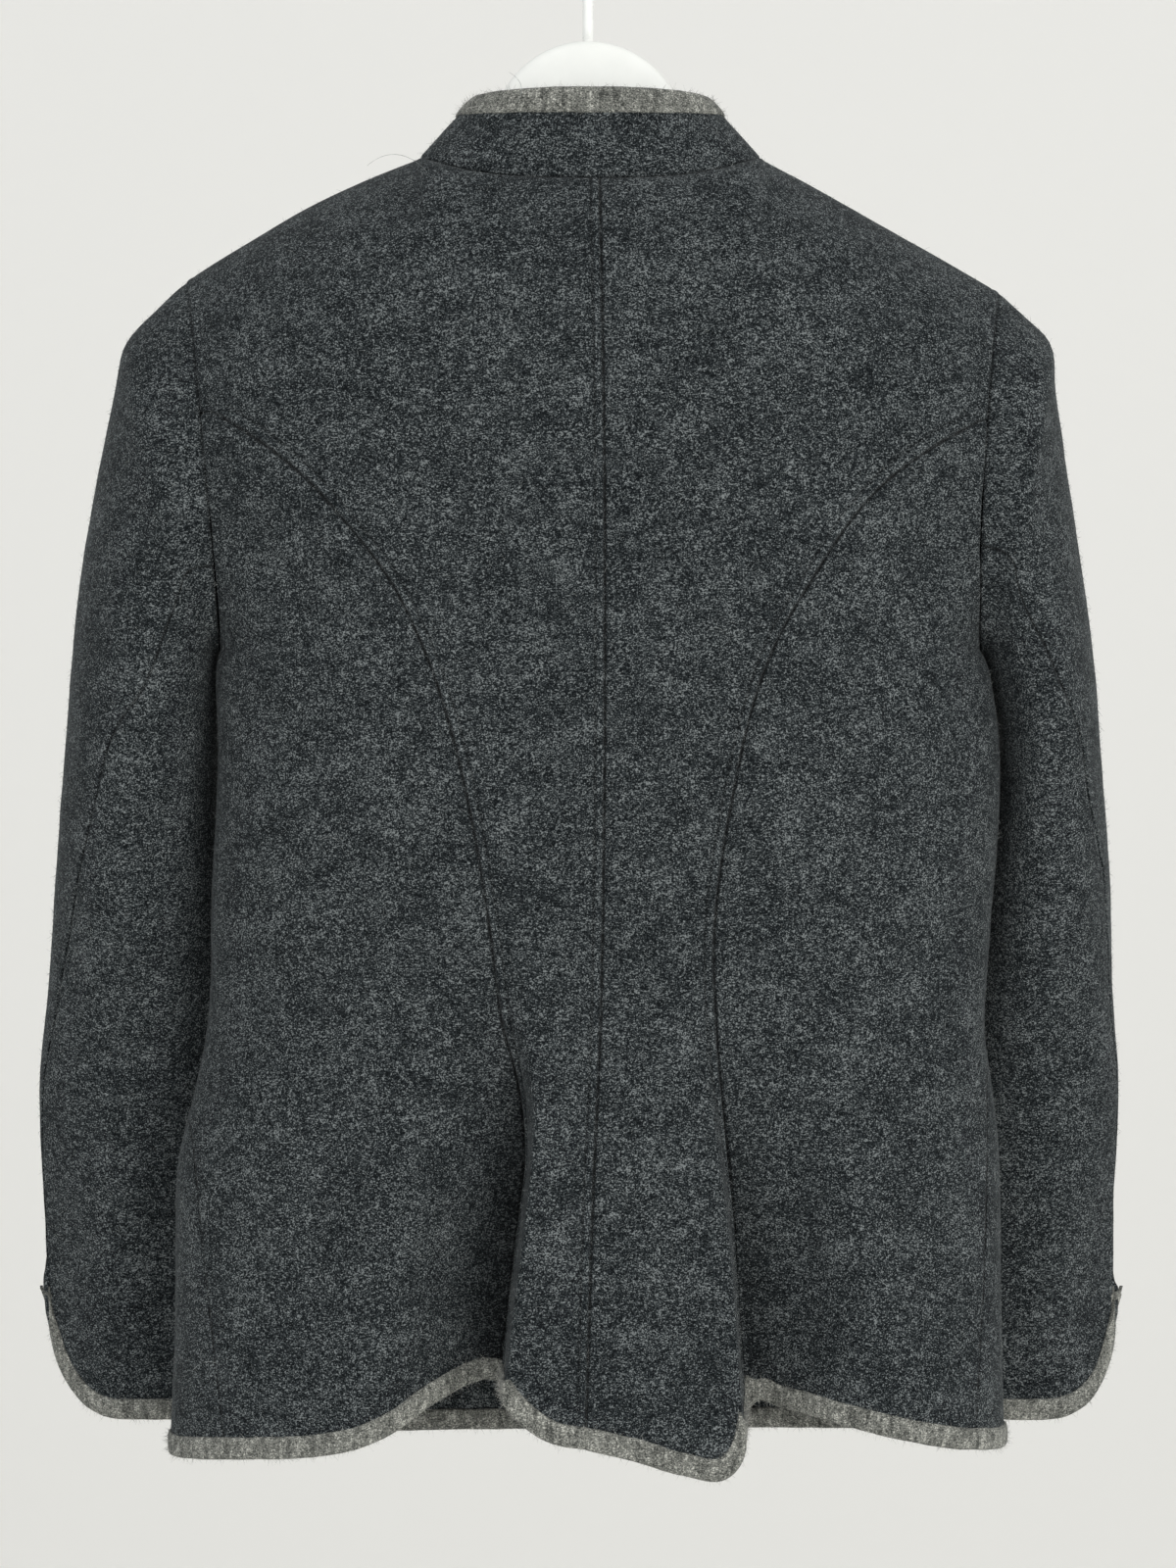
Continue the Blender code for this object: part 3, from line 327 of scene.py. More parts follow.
def foldDepth(side, out, drop):
    if drop < jacket["foldStart"]:
        return 0.0
    seam = princess.at(sideName(side), drop)
    fold = folds[side]
    width, crest, valley = (fold.at(name, drop) for name in ("width", "crest", "valley"))
    beyond = out - seam
    if beyond >= 0:
        return valley * (1 - smoothstep(beyond / jacket["flank"][side]))
    if beyond > -width:
        return lerp(valley, -crest, smoothstep(-beyond / width))
    centre = middleOut(side, -1, drop)
    middleCrest = jacket["tailHollow"] * (crest + folds[-side].at("crest", drop)) / 2
    return -lerp(middleCrest, crest, smoothstep((out - centre) / (seam - width - centre)))


def panelEdge(side, facing, row):
    if row <= 1:
        return side * sleevePoint(side, 0, -facing * 180 * row)[0]
    return sides.at(sideName(side), lerp(underarmDrop(side), jacket["sideHemDrop"][side], row - 1))


def upperTorsoPoint(side, facing, out, row):
    edge = sleevePoint(side, 0, -facing * 180 * row)
    edgeOut = side * edge[0]
    inner = middleOut(side, facing, neckEdges["base"]["backDrop"])
    share = (out - inner) / (edgeOut - inner)
    topDeep, topDrop = topLine(side, facing, lerp(inner, shoulderTip(side)[0], share))
    drop = lerp(topDrop, underarmDrop(side), (1 - math.cos(math.pi * row)) / 2)
    edgeDeep = sleeves[side].at("depth", 0) if row < 0.5 else abs(edge[1])
    body = bodyDepth(facing, out, drop, edgeOut, edgeDeep)
    halfHeight = (underarmDrop(side) - shoulderTip(side)[1]) / 2
    ease = lerp(jacket["neckRound"], halfHeight, min(max(share, 0.0), 1.0))
    return place(out, lerp(topDeep, body, quarterArc((drop - topDrop) / ease)), drop, side)


def lowerTorsoPoint(side, facing, out, row):
    edgeOut = panelEdge(side, facing, row)
    if facing < 0:
        centre = middleOut(side, -1, lerp(underarmDrop(side), jacket["centreHemDrop"], row - 1))
        hemCentre = middleOut(side, -1, jacket["centreHemDrop"])
        hemEdge = sides.at(sideName(side), jacket["sideHemDrop"][side])
        hem = backHem[side].at("drop", lerp(hemCentre, hemEdge, (out - centre) / (edgeOut - centre)))
    else:
        hem = lerp(jacket["frontHemDrop"], jacket["sideHemDrop"][side], smoothstep(out / edgeOut))
    drop = lerp(underarmDrop(side), hem, row - 1)
    deep = bodyDepth(facing, out, drop, max(sides.at(sideName(side), drop), out), 0.0)
    if facing < 0:
        deep += foldDepth(side, out, drop) * (1 - smoothstep((out / edgeOut - 0.8) / 0.2))
    return place(out, deep, drop, side)


def torsoPoint(side, facing, out, row):
    return (upperTorsoPoint if row <= 1 else lowerTorsoPoint)(side, facing, out, row)


def crossing(side, row):
    # where the curved seam crosses a row of the back
    edge = panelEdge(side, -1, row)
    out = 60.0
    for _ in range(30):
        drop = -torsoPoint(side, -1, out, row)[2]
        out = min(lerp(out, princess.at(sideName(side), drop), 0.6), edge - jacket["seamTip"])
    return out


# Rows of points, from one edge of a panel to the other

# the columns' distances from a seam, and how much closer the others stand in a bend
seamOffsets = (0, 0.35, 0.8, 1.4, 2.1, 2.9, 3.7, 4.4, 5.0, 5.6, 6.4, 7.6, 9.4)
bendCrowding = {"times": 3.5, "sharpest": 0.15}


def arcLengths(line):
    return np.concatenate([[0.0], np.cumsum(np.linalg.norm(np.diff(line, axis=0), axis=1))])


def softened(line, marks, softness):
    # the line with its folds rounded, its ends kept, and where the marks lie on it now
    arcs = arcLengths(line)
    count = int(arcs[-1] / 0.8) + 2
    even = np.linspace(0, arcs[-1], count)
    spots = np.stack([np.interp(even, arcs, line[:, k]) for k in range(3)], axis=1)
    reach = 12
    ahead = 2 * spots[0] - spots[reach:0:-1]
    behind = 2 * spots[-1] - spots[-2:-reach - 2:-1]
    long = np.concatenate([ahead, spots, behind])
    offsets = np.arange(-reach, reach + 1) * even[1]
    weights = np.exp(-(offsets / softness) ** 2 / 2)
    weights /= weights.sum()
    spots = sum(w * long[i:i + count] for i, w in enumerate(weights))
    newArcs = arcLengths(spots)
    return spots, newArcs, [float(np.interp(arcs[m], even, newArcs)) for m in marks]


def columnPlaces(start, end, count, stretch, bend):
    # distances along a row: close at both seams, and closer where the row bends
    width = end - start
    near = np.array(seamOffsets) * min(stretch, 0.4 * width / seamOffsets[-1])
    low, high = start + near[-1], end - near[-1]
    spots = np.linspace(low, high, 200)
    arcs, bends = bend
    share = np.minimum(np.interp(spots, arcs, bends) / bendCrowding["sharpest"], 1.0)
    density = 1 + bendCrowding["times"] * share
    total = np.concatenate([[0.0], np.cumsum((density[1:] + density[:-1]) / 2)])
    middle = np.interp(np.linspace(0, total[-1], count - 2 * len(near) + 2), total, spots)
    return np.concatenate([start + near, middle[1:-1], end - near[::-1]])


def bendOf(line, arcs):
    # how sharply a line turns at each of its points, spread over some millimetres
    along = unitRows(np.gradient(line, axis=0))
    turn = np.linalg.norm(np.gradient(along, axis=0), axis=1) / np.maximum(np.gradient(arcs), 1e-6)
    reach = 9
    kernel = np.hanning(2 * reach + 1)
    return arcs, np.convolve(np.pad(turn, reach, mode="edge"), kernel / kernel.sum(), mode="valid")


def onLine(line, arcs, spots):
    return np.stack([np.interp(spots, arcs, line[:, k]) for k in range(3)], axis=1)


def seamStretch(side, drop):
    slope = (princess.at(sideName(side), drop + 3) - princess.at(sideName(side), drop - 3)) / 6
    return math.sqrt(1 + min(slope**2, 12.0))


def torsoRowValues():
    upper = [i / jacket["upperRows"] for i in range(jacket["upperRows"] + 1)]
    upper = sorted(set(upper) | {jacket["princessRow"]})
    lowerCount = int(jacket["lowerLength"] / jacket["rowStep"])
    return upper + [1 + i / lowerCount for i in range(1, lowerCount + 1)]


def cornerShare(line, arcs, side):
    # where the neck's side lies on the top row, as a share of its length
    nearest = int(np.argmin(np.abs(np.abs(line[:, 0]) - neckSide(side))))
    return arcs[nearest] / arcs[-1]


def easedPlaces(spots, row, corner, total):
    # on the top rows one column lies on the side of the neck
    share = 1 - smoothstep(row / jacket["princessRow"])
    if share <= 0:
        return spots
    shares = spots / total
    k = int(round(corner * (len(spots) - 1)))
    bent = np.interp(shares, [0, shares[k], 1], [0, corner, 1])
    return lerp(shares, bent, share) * total


def backGrids(side, counts):
    # the centre back and the side back, with the true distance of each point to the curved seam
    centreGrid, sideGrid, centreStretch, sideStretch = [], [], [], []
    corner = None
    for row in torsoRowValues():
        edge = panelEdge(side, -1, row)
        centre = middleOut(side, -1, -torsoPoint(side, -1, 0.0, row)[2])
        split = row > jacket["princessRow"] + 1e-6
        seam = crossing(side, row) if split else edge
        seamDrop = -torsoPoint(side, -1, seam, row)[2]
        width = folds[side].at("width", seamDrop)
        if split and seamDrop > jacket["foldStart"] - 40:
            outs = np.concatenate([
                np.linspace(centre, seam - width, 45)[:-1], np.linspace(seam - width, seam, 60)[:-1],
                np.linspace(seam, edge, 70)])
            mark = 103
        elif split:
            outs = np.concatenate([np.linspace(centre, seam, 70)[:-1], np.linspace(seam, edge, 50)])
            mark = 69
        else:
            outs = np.linspace(centre, edge, 110)
            mark = 109
        line = np.array([torsoPoint(side, -1, out, row) for out in outs])
        if row > 1.2:
            line, arcs, (seamAt,) = softened(line, [mark], jacket["foldSoftness"])
        else:
            arcs = arcLengths(line)
            seamAt = arcs[mark]
        corner = cornerShare(line, arcs, side) if corner is None else corner
        bend = bendOf(line, arcs)
        stretch = seamStretch(side, seamDrop) if split else 1.0
        spots = columnPlaces(0.0, seamAt, counts[0], stretch, bend)
        spots = easedPlaces(spots, row, corner, seamAt)
        centreGrid.append(onLine(line, arcs, spots))
        centreStretch.append(stretch)
        if split:
            spots = columnPlaces(seamAt, arcs[-1], counts[1], stretch, bend)
            sideGrid.append(onLine(line, arcs, spots))
            sideStretch.append(stretch)
        elif row > jacket["princessRow"] - 1e-6:
            sideGrid.append(np.repeat(line[-1:], counts[1], axis=0))
            sideStretch.append(seamStretch(side, seamDrop + 4))
    return np.array(centreGrid), np.array(sideGrid), np.array(centreStretch), np.array(sideStretch)


def frontGrid(side, count):
    rows = []
    corner = None
    for row in torsoRowValues():
        edge = panelEdge(side, 1, row)
        outs = np.linspace(jacket["frontEdge"], edge, 110)
        line = np.array([torsoPoint(side, 1, out, row) for out in outs])
        arcs = arcLengths(line)
        corner = cornerShare(line, arcs, side) if corner is None else corner
        spots = columnPlaces(0.0, arcs[-1], count, 1.0, bendOf(line, arcs))
        rows.append(onLine(line, arcs, easedPlaces(spots, row, corner, arcs[-1])))
    return np.array(rows)


def cuffEdge(whole, count):
    # the cuff's edge as lengths round and drops: a rounded corner, then level
    cornerCount = 14
    edge = []
    for angle in np.linspace(0, math.pi / 2, cornerCount):
        edge.append((
            jacket["cuffNotch"] + jacket["cuffCorner"] * (1 - math.cos(angle)),
            jacket["cuffDrop"] - jacket["cuffVent"] * (1 - math.sin(angle))))
    for length in np.linspace(edge[-1][0], whole, count - cornerCount + 1)[1:]:
        edge.append((length, jacket["cuffDrop"]))
    return edge


def sleeveGrid(side, piece, count):
    # rows from the armhole to the cuff; columns from the elbow seam to the forearm seam
    table = sleeves[side]
    lastRing = 10.8

    def turnsAt(ring, shares):
        elbow = sleeveSeams.at(sideName(side), ring)
        forearm = sleeveSeams.at("forearm", ring) + (0 if piece == "top" else 360)
        return elbow + (forearm - elbow) * shares

    def lineAt(ring, shares):
        return np.array([sleevePoint(side, ring, turn) for turn in turnsAt(ring, shares)])

    rows = []
    dense = np.linspace(0, 1, 70)
    rings = np.concatenate([
        np.linspace(0, 3, 15)[:-1], np.linspace(3, 7, 42)[:-1], np.linspace(7, lastRing, 58)])
    for ring in rings:
        line = lineAt(ring, dense)
        arcs = arcLengths(line)
        spots = columnPlaces(0.0, arcs[-1], count, 1.0, bendOf(line, arcs))
        rows.append(onLine(line, arcs, spots))
        lastShares = np.interp(spots, arcs, dense)
    lastTurns = turnsAt(lastRing, lastShares)
    cuffTurns = turnsAt(12.0, dense)
    lengths = arcLengths(np.array([sleevePoint(side, 12.0, turn) for turn in cuffTurns]))
    edge = cuffEdge(lengths[-1], count)
    ringSteps = np.linspace(8, 13, 100)
    drops = [table.at("outerDrop", ring) for ring in ringSteps]
    lastDrop = table.at("outerDrop", lastRing)
    downCount = int(128 / jacket["rowStep"])
    for i in range(1, downCount + 1):
        t = i / downCount
        row = []
        for j, (length, drop) in enumerate(edge):
            turn = lerp(lastTurns[j], float(np.interp(length, lengths, cuffTurns)), t)
            row.append(sleevePoint(side, float(np.interp(lerp(lastDrop, drop, t), drops, ringSteps)), turn))
        rows.append(np.array(row))
    return np.array(rows)


def collarEdge(name, facing, across):
    edge = neckEdges[name]
    deep, drop = neckCurve(edge, facing, min(abs(across), 1.0))
    return place(jacket["neckCentre"] + edge["halfWidth"] * across, deep, drop)


def collarGrid(rowCount):
    # rows from the neckline to the top edge; columns from the left front edge round the back
    halfWidth = neckEdges["base"]["halfWidth"]
    firstAcross = (-jacket["frontEdge"] - jacket["neckCentre"]) / halfWidth
    lastAcross = (jacket["frontEdge"] - jacket["neckCentre"]) / halfWidth
    start = math.acos(firstAcross)
    finish = math.acos(lastAcross)
    around = [(1, math.cos(a)) for a in np.linspace(start, math.pi, 46)]
    around += [(-1, math.cos(a)) for a in np.linspace(math.pi, 0, 84)[1:]]
    around += [(1, math.cos(a)) for a in np.linspace(0, finish, 46)[1:]]
    rows = []
    for height in np.linspace(0, 1, rowCount):
        row = []
        for facing, across in around:
            base = collarEdge("base", facing, across)
            top = collarEdge("top", facing, across)
            if facing > 0 and abs(base[0]) < 14:  # the front edges stand upright
                top[0] = lerp(base[0], top[0], smoothstep((abs(base[0]) - 9) / 5))
            row.append(lerp(base, top, height))
        rows.append(row)
    return np.array(rows)


# Relief: seams, topstitching, creases and the felt's unevenness

relief = {
    "grooveDepth": 1.25,
    "grooveWidth": 0.75,
    "ridge": 0.55,
    "ridgeAt": 2.5,
    "ridgeWidth": 1.25,
    "stitchAt": 4.9,
    "stitchDepth": 0.55,
    "stitchWidth": 0.75,
    "armhole": 0.35,
    "hollow": {-1: (19.0, 1.25), 1: (30.0, 0.75)},  # width and strength of the painted shade in the valleys beside the tail
    "deepValley": 40.0,
    "lumps": ((14.0, 0.20), (38.0, 0.45), (95.0, 0.8)),
}


def bell(distance, width):
    return np.exp(-(distance / width) ** 2)


def seamRelief(distance, stitched):
    depth = -relief["grooveDepth"] * bell(distance, relief["grooveWidth"])
    if stitched:
        depth += relief["ridge"] * bell(distance - relief["ridgeAt"], relief["ridgeWidth"])
        depth -= relief["stitchDepth"] * bell(distance - relief["stitchAt"], relief["stitchWidth"])
    return depth


def sideSeamGaps(grid, side):
    # how far the side seam lies from the back's side edge on each row
    gaps = []
    for line in grid:
        seamOut = sideSeams.at(sideName(side), -line[-1, 2])
        outs = side * line[:, 0]
        arcs = arcLengths(line)
        half = len(outs) // 2
        inside = np.interp(seamOut, outs[half:], arcs[half:]) if outs[-1] > outs[half] else arcs[-1]
        gaps.append(max(arcs[-1] - inside, 0.0))
    return np.array(gaps)


def edgeDistances(grid, stretch=None):
    # the distance of each point to the panel's first and last column and row
    across = np.linalg.norm(np.diff(grid, axis=1), axis=2)
    down = np.linalg.norm(np.diff(grid, axis=0), axis=2)
    fromFirst = np.concatenate([np.zeros((grid.shape[0], 1)), np.cumsum(across, axis=1)], axis=1)
    fromTop = np.concatenate([np.zeros((1, grid.shape[1])), np.cumsum(down, axis=0)], axis=0)
    found = {"first": fromFirst, "last": fromFirst[:, -1:] - fromFirst,
             "top": fromTop, "bottom": fromTop[-1:] - fromTop}
    if stretch is not None:
        found["slanted"] = stretch[:, None]
    return found


def gridNormals(grid, facing=None):
    across = np.gradient(grid, axis=1)
    down = np.gradient(grid, axis=0)
    flat = np.linalg.norm(across, axis=2) < 1e-6
    normals = np.cross(across, down)
    normals[flat] = 0
    normals = unitRows(normals)
    hearts = grid.mean(axis=1, keepdims=True)
    if facing is not None:
        hearts[:, :, 1] -= facing * 60
    if np.sum(normals * (grid - hearts)) < 0:
        normals = -normals
    if flat.any():
        normals[0] = normals[1, normals.shape[1] // 2]
    return normals


def creaseRelief(grid, face):
    flat = grid[:, :, [0, 2]].reshape(-1, 2)
    depth = np.zeros(len(flat))
    for row in creases:
        crease = dict(zip(creaseColumns, row))
        if crease["face"] != face:
            continue
        ends = [np.array([crease[f"x{k}"], -crease[f"drop{k}"]], float) for k in range(3)]
        t = np.linspace(0, 1, 28)[:, None]
        path = (1 - t) ** 2 * ends[0] + 2 * t * (1 - t) * ends[1] + t**2 * ends[2]
        near = np.abs(flat - ends[1]).max(axis=1) < 120
        gaps = np.linalg.norm(flat[near, None] - path[None], axis=2)
        best = gaps.argmin(axis=1)
        taper = np.sin(math.pi * best / 27) ** 0.7
        depth[near] += crease["depth"] * taper * np.exp(-(gaps.min(axis=1) / crease["width"]) ** 2)
    return depth.reshape(grid.shape[:2])


def lumpRelief(grid):
    depth = np.zeros(grid.shape[:2])
    for size, height in relief["lumps"]:
        for index in np.ndindex(depth.shape):
            depth[index] += height * noise.noise(Vector(grid[index] / size))
    return depth


def atBorders(distances, names, reach=10.0):
    # 0 at the named borders and 1 beyond their reach, so that neighbours meet
    share = np.ones_like(distances["first"])
    for name in names:
        t = np.clip(distances[name] / reach, 0, 1)
        share = np.minimum(share, t * t * (3 - 2 * t))
    return share


def reliefOf(grid, face, distances, seams, kept):
    # seams: rows of border, kind and strength; kept: the borders where creases fade out
    depth = creaseRelief(grid, face) * atBorders(distances, kept) + lumpRelief(grid)
    # shade: how strong the painted shade of the nearest seam is, for the material
    shade = np.zeros(grid.shape[:2])
    nearest = np.full(grid.shape[:2], 99.0)
    stitch = np.full(grid.shape[:2], 99.0)
    for border, kind, strength in seams:
        distance = distances[border] / (distances["slanted"] if kind == "slanted" else 1.0)
        strength = np.broadcast_to(np.asarray(strength, float).reshape(-1, 1), grid.shape[:2])
        onBorder = 1.0
        if kind == "turned":
            distance = distance + distances["gap"]
            onBorder = np.clip(1 - np.abs(distances["gap"]) / 2, 0, 1)
        depth += seamRelief(distance, kind in ("stitched", "slanted")) * strength * onBorder
        nearer = np.abs(distance) < np.abs(nearest)
        nearest = np.where(nearer, distance, nearest)
        shade = np.where(nearer, strength, shade)
        if kind in ("stitched", "slanted"):
            stitch = np.where(strength > 0.9, np.minimum(stitch, distance), stitch)
    return depth, {"seamDistance": nearest, "seamStrength": shade, "stitchDistance": stitch,
                   "hollow": distances.get("hollow", np.zeros_like(depth))}


def paintedValleyShadeOf(grid, side, distance):
    # how much painted shade the wool gets in the valley beside the tail, by how deep each point lies
    ends = [[folds[side].at("valley", -height) for height in line[[0, -1], 2]] for line in grid]
    share = np.array(ends).mean(axis=1)
    width, strength = relief["hollow"][side]
    return strength * bell(distance, width) * np.clip(share / relief["deepValley"], 0, 1)[:, None]


# Meshes

def newObject(name, points, faces, smooth=True):
    mesh = bpy.data.meshes.new(name)
    mesh.from_pydata((np.asarray(points) * mm).tolist(), [], faces)
    mesh.validate()
    if smooth:
        mesh.shade_smooth()
    made = bpy.data.objects.new(name, mesh)
    bpy.context.scene.collection.objects.link(made)
    return made


def gridFaces(rows, columns, start=0):
    index = start + np.arange(rows * columns).reshape(rows, columns)
    return np.stack([index[:-1, :-1], index[:-1, 1:], index[1:, 1:], index[1:, :-1]], axis=-1).reshape(-1, 4)


def keepValues(made, name, values):
    # a number for every point of a mesh, for its material
    layer = made.data.attributes.new(name, "FLOAT", "POINT")
    layer.data.foreach_set("value", np.asarray(values, np.float32).ravel())


def shell(name, outer, normals, thickness, kept):
    # a closed wall behind a grid of outer points, its faces outwards
    rows, columns = outer.shape[:2]
    inner = outer - normals * thickness
    size = rows * columns
    front = gridFaces(rows, columns)
    a, b, d = (outer.reshape(-1, 3)[front[:, k]] for k in (0, 1, 3))
    facing = np.einsum("ij,ij->i", np.cross(b - a, d - a), normals.reshape(-1, 3)[front[:, 0]])
    if facing.sum() < 0:
        front = front[:, ::-1]
    index = np.arange(size).reshape(rows, columns)
    ring = np.concatenate([index[0, :-1], index[:-1, -1], index[-1, :0:-1], index[:0:-1, 0]])
    if facing.sum() >= 0:
        ring = ring[::-1]
    after = np.roll(ring, -1)
    rim = np.stack([after, ring, ring + size, after + size], axis=1)[:, ::-1]
    faces = np.concatenate([front, front[:, ::-1] + size, rim])
    made = newObject(name, np.concatenate([outer.reshape(-1, 3), inner.reshape(-1, 3)]), faces.tolist())
    for title, values in kept.items():
        keepValues(made, title, np.concatenate([values.ravel(), values.ravel()]))
    tidy(made)
    return made


def tidy(made):
    # merges points that fall together and takes out faces that have no area
    work = bmesh.new()
    work.from_mesh(made.data)
    bmesh.ops.remove_doubles(work, verts=work.verts, dist=0.00002)
    bmesh.ops.dissolve_degenerate(work, edges=work.edges, dist=0.00002)
    bmesh.ops.recalc_face_normals(work, faces=work.faces)
    work.to_mesh(made.data)
    work.free()
    made.data.shade_smooth()


def tube(name, stations):
    # a closed tube through rings of points
    rings = np.array(stations)
    count, size = rings.shape[:2]
    index = np.arange(count * size).reshape(count, size)
    after = np.roll(index, -1, axis=1)
    walls = np.stack([index[:-1], after[:-1], after[1:], index[1:]], axis=-1).reshape(-1, 4).tolist()
    faces = walls + [index[0, ::-1].tolist(), index[-1].tolist()]
    made = newObject(name, rings.reshape(-1, 3), faces)
    tidy(made)
    return made


def joinObjects(name, parts):
    points, faces = [], []
    for part in parts:
        start = len(points)
        points += [np.array(v.co) / mm for v in part.data.vertices]
        faces += [[start + k for k in face.vertices] for face in part.data.polygons]
        bpy.data.objects.remove(part)
    return newObject(name, points, faces)


binding = {
    "thickness": 1.35, "gap": 0.15, "reach": 9.6, "crown": 0.35, "wave": 0.5, "collarWider": 2.8,
    "station": 2.2, "evening": 2.0,
}


outerPoints = 14  # of a binding's section: the outer face and the round over the edge


def bindingSection(line, normals, inward, wider):
    # a U-shaped strip on the cloth, from a line of its points that runs in from the edge
    walked = np.concatenate([[0.0], np.cumsum(np.diff(line, axis=0) @ inward)])
    walked = np.maximum.accumulate(walked)
    reach = binding["reach"] + wider + binding["wave"] * noise.noise(Vector(line[0] / 11.0))
    half = jacket["wall"] / 2
    inner = half + binding["gap"]
    outer = inner + binding["thickness"] * (1 + 0.25 * noise.noise(Vector(line[0] / 9.0)))

    def at(u, away):
        spot, normal = (
            np.array([np.interp(u, walked, values[:, k]) for k in range(3)]) for values in (line, normals))
        return spot + normal / np.linalg.norm(normal) * (away - half)

    skin = [(reach, 0.55), (reach - 0.5, 0.9), (reach - 1.5, 1.0), (reach * 0.62, 1 + binding["crown"] / 3),
            (reach * 0.36, 1 + binding["crown"] / 3), (2.0, 1 + binding["crown"] / 4), (0.3, 1.0)]
    ring = [at(u, max(outer * n, inner + 0.2)) for u, n in skin]
    centre = line[0] - normals[0] * half
    for angle in np.linspace(0, math.pi, 9)[1:-1]:
        ring.append(centre - inward * (outer * 0.85 * math.sin(angle)) + normals[0] * outer * math.cos(angle))
    ring += [at(u, -max(outer * n, inner + 0.2)) for u, n in skin[::-1]]
    return ring + [at(reach, -inner), at(reach / 2, -inner), at(0.2, -inner),
                   at(0.2, inner), at(reach / 2, inner), at(reach, inner)]


def bindingStrip(name, lines, normals, wider):
    # lines: rows of points from the edge inwards, one column for each station
    edges = lines[0]
    along = unitRows(np.gradient(edges, axis=0))
    inward = np.cross(normals[0], along)
    inward *= np.sign(np.sum(inward * (lines[3] - edges), axis=1))[:, None]
    inward = unitRows(inward)
    swell = wider * np.sin(np.linspace(0, math.pi, len(edges))) ** 4
    sections = [bindingSection(lines[:, i], normals[:, i], inward[i], swell[i]) for i in range(len(edges))]
    skin = np.array(sections)[:, :outerPoints]
    return tube(name, sections), (skin, gridNormals(skin))


# Materials

class Signal:
    # one shader value or colour, with Python's own operators on values
    def __init__(self, tree, socket):
        self.tree = tree
        self.socket = socket

    def node(self, kind, settings=None, inputs=None, output=0):
        made = self.tree.nodes.new(kind)
        for name, value in (settings or {}).items():
            if name == "stops":
                ramp = made.color_ramp
                while len(ramp.elements) < len(value):
                    ramp.elements.new(0.5)
                for element, (position, colour) in zip(ramp.elements, value):
                    element.position = position
                    element.color = colour
            else:
                setattr(made, name, value)
        for name, value in (inputs or {}).items():
            if isinstance(value, Signal):
                self.tree.links.new(value.socket, made.inputs[name])
            else:
                made.inputs[name].default_value = value
        return Signal(self.tree, made.outputs[output])

    def maths(self, operation, *others):
        return self.node("ShaderNodeMath", {"operation": operation}, dict(enumerate((self,) + others)))

    def __add__(self, other):
        return self.maths("ADD", other)

    def __sub__(self, other):
        return self.maths("SUBTRACT", other)

    def __rsub__(self, other):
        return self.maths("MULTIPLY_ADD", -1.0, other)

    def __mul__(self, other):
        return self.maths("MULTIPLY", other)

    __radd__ = __add__
    __rmul__ = __mul__

    def between(self, low, high, toLow=0.0, toHigh=1.0):
        return self.node("ShaderNodeMapRange", {"interpolation_type": "SMOOTHSTEP"}, {
            "Value": self, "From Min": low, "From Max": high, "To Min": toLow, "To Max": toHigh})

    def blend(self, first, second):
        # a colour between two, by this value
        return self.node("ShaderNodeMix", {"data_type": "RGBA"}, {"Factor": self, 6: first, 7: second}, 2)


def newMaterial(name):
    made = bpy.data.materials.new(name)
    made.use_nodes = True
    tree = made.node_tree
    tree.nodes.clear()
    output = tree.nodes.new("ShaderNodeOutputMaterial")
    shader = tree.nodes.new("ShaderNodeBsdfPrincipled")
    tree.links.new(shader.outputs[0], output.inputs[0])
    where = tree.nodes.new("ShaderNodeTexCoord")
    return made, shader, Signal(tree, where.outputs["Object"])


def setSocket(shader, name, value):
    socket = shader.inputs[name]
    if isinstance(value, Signal):
        value.tree.links.new(value.socket, socket)
    else:
        socket.default_value = value


def noiseAt(where, scale, detail=2.0, rough=0.55, turn=(0, 0, 0), squeeze=(1, 1, 1)):
    placed = where.node("ShaderNodeMapping", None, {
        "Vector": where, "Rotation": [math.radians(a) for a in turn], "Scale": squeeze})
    return where.node("ShaderNodeTexNoise", None, {
        "Vector": placed, "Scale": scale, "Detail": detail, "Roughness": rough})


felt = {
    "dark": (0.0022, 0.0036, 0.0045, 1),
    "middle": (0.0232, 0.0282, 0.0304, 1),
    "light": (0.172, 0.188, 0.189, 1),
    "window": (0.555, 0.636, 0.725),
    "roughness": 0.95,
    "sheen": 0.05,
    # strengths of the painted shade in the seams, valleys and stitching, and of the painted highlight on the
    # ridge
    "seamShade": 0.66,
    "paintedValleyShadeStrength": 0.5,
    "stitchShade": 0.35,
    "ridgeShine": 0.14,
}

braid = {
    "dark": (0.042, 0.044, 0.040, 1),
    "middle": (0.160, 0.163, 0.147, 1),
    "light": (0.510, 0.510, 0.460, 1),
    "window": (0.525, 0.625, 0.745),
}


# the layers of the wool's texture: how fine each is, and its part in the tone and in the height
wool = {
    "flecks": {"scale": 1250.0, "tone": 0.43, "height": 0.9},
    "grain": {"scale": 1300.0, "tone": 0.44, "height": 0.5},
    "tufts": {"scale": 300.0, "tone": 0.15, "height": 0.6},
    "clouds": {"scale": 60.0, "tone": 0.10},
    "lift": 0.015,
    "streaks": {"scale": 330.0, "tone": 0.24, "rest": 0.8},
    "bump": 0.7,
    "bumpDistance": 0.0008,
    "fibreTurns": ((6, 0.0), (48, 0.31), (-40, 0.77), (88, 0.53)),
}


def flecksAt(where, scale):
    # short fibres lying many ways: the strongest of several stretched noises
    flecks = None
    for turn, offset in wool["fibreTurns"]:
        placed = where.node("ShaderNodeMapping", None, {
            "Vector": where, "Location": (offset, offset * 2, -offset),
            "Rotation": (0, math.radians(turn), 0), "Scale": (0.42, 1, 1)})
        fleck = where.node("ShaderNodeTexNoise", None, {
            "Vector": placed, "Scale": scale, "Detail": 1.0, "Roughness": 0.5, "Distortion": 0.2})
        flecks = fleck if flecks is None else flecks.maths("MAXIMUM", fleck)
    return flecks


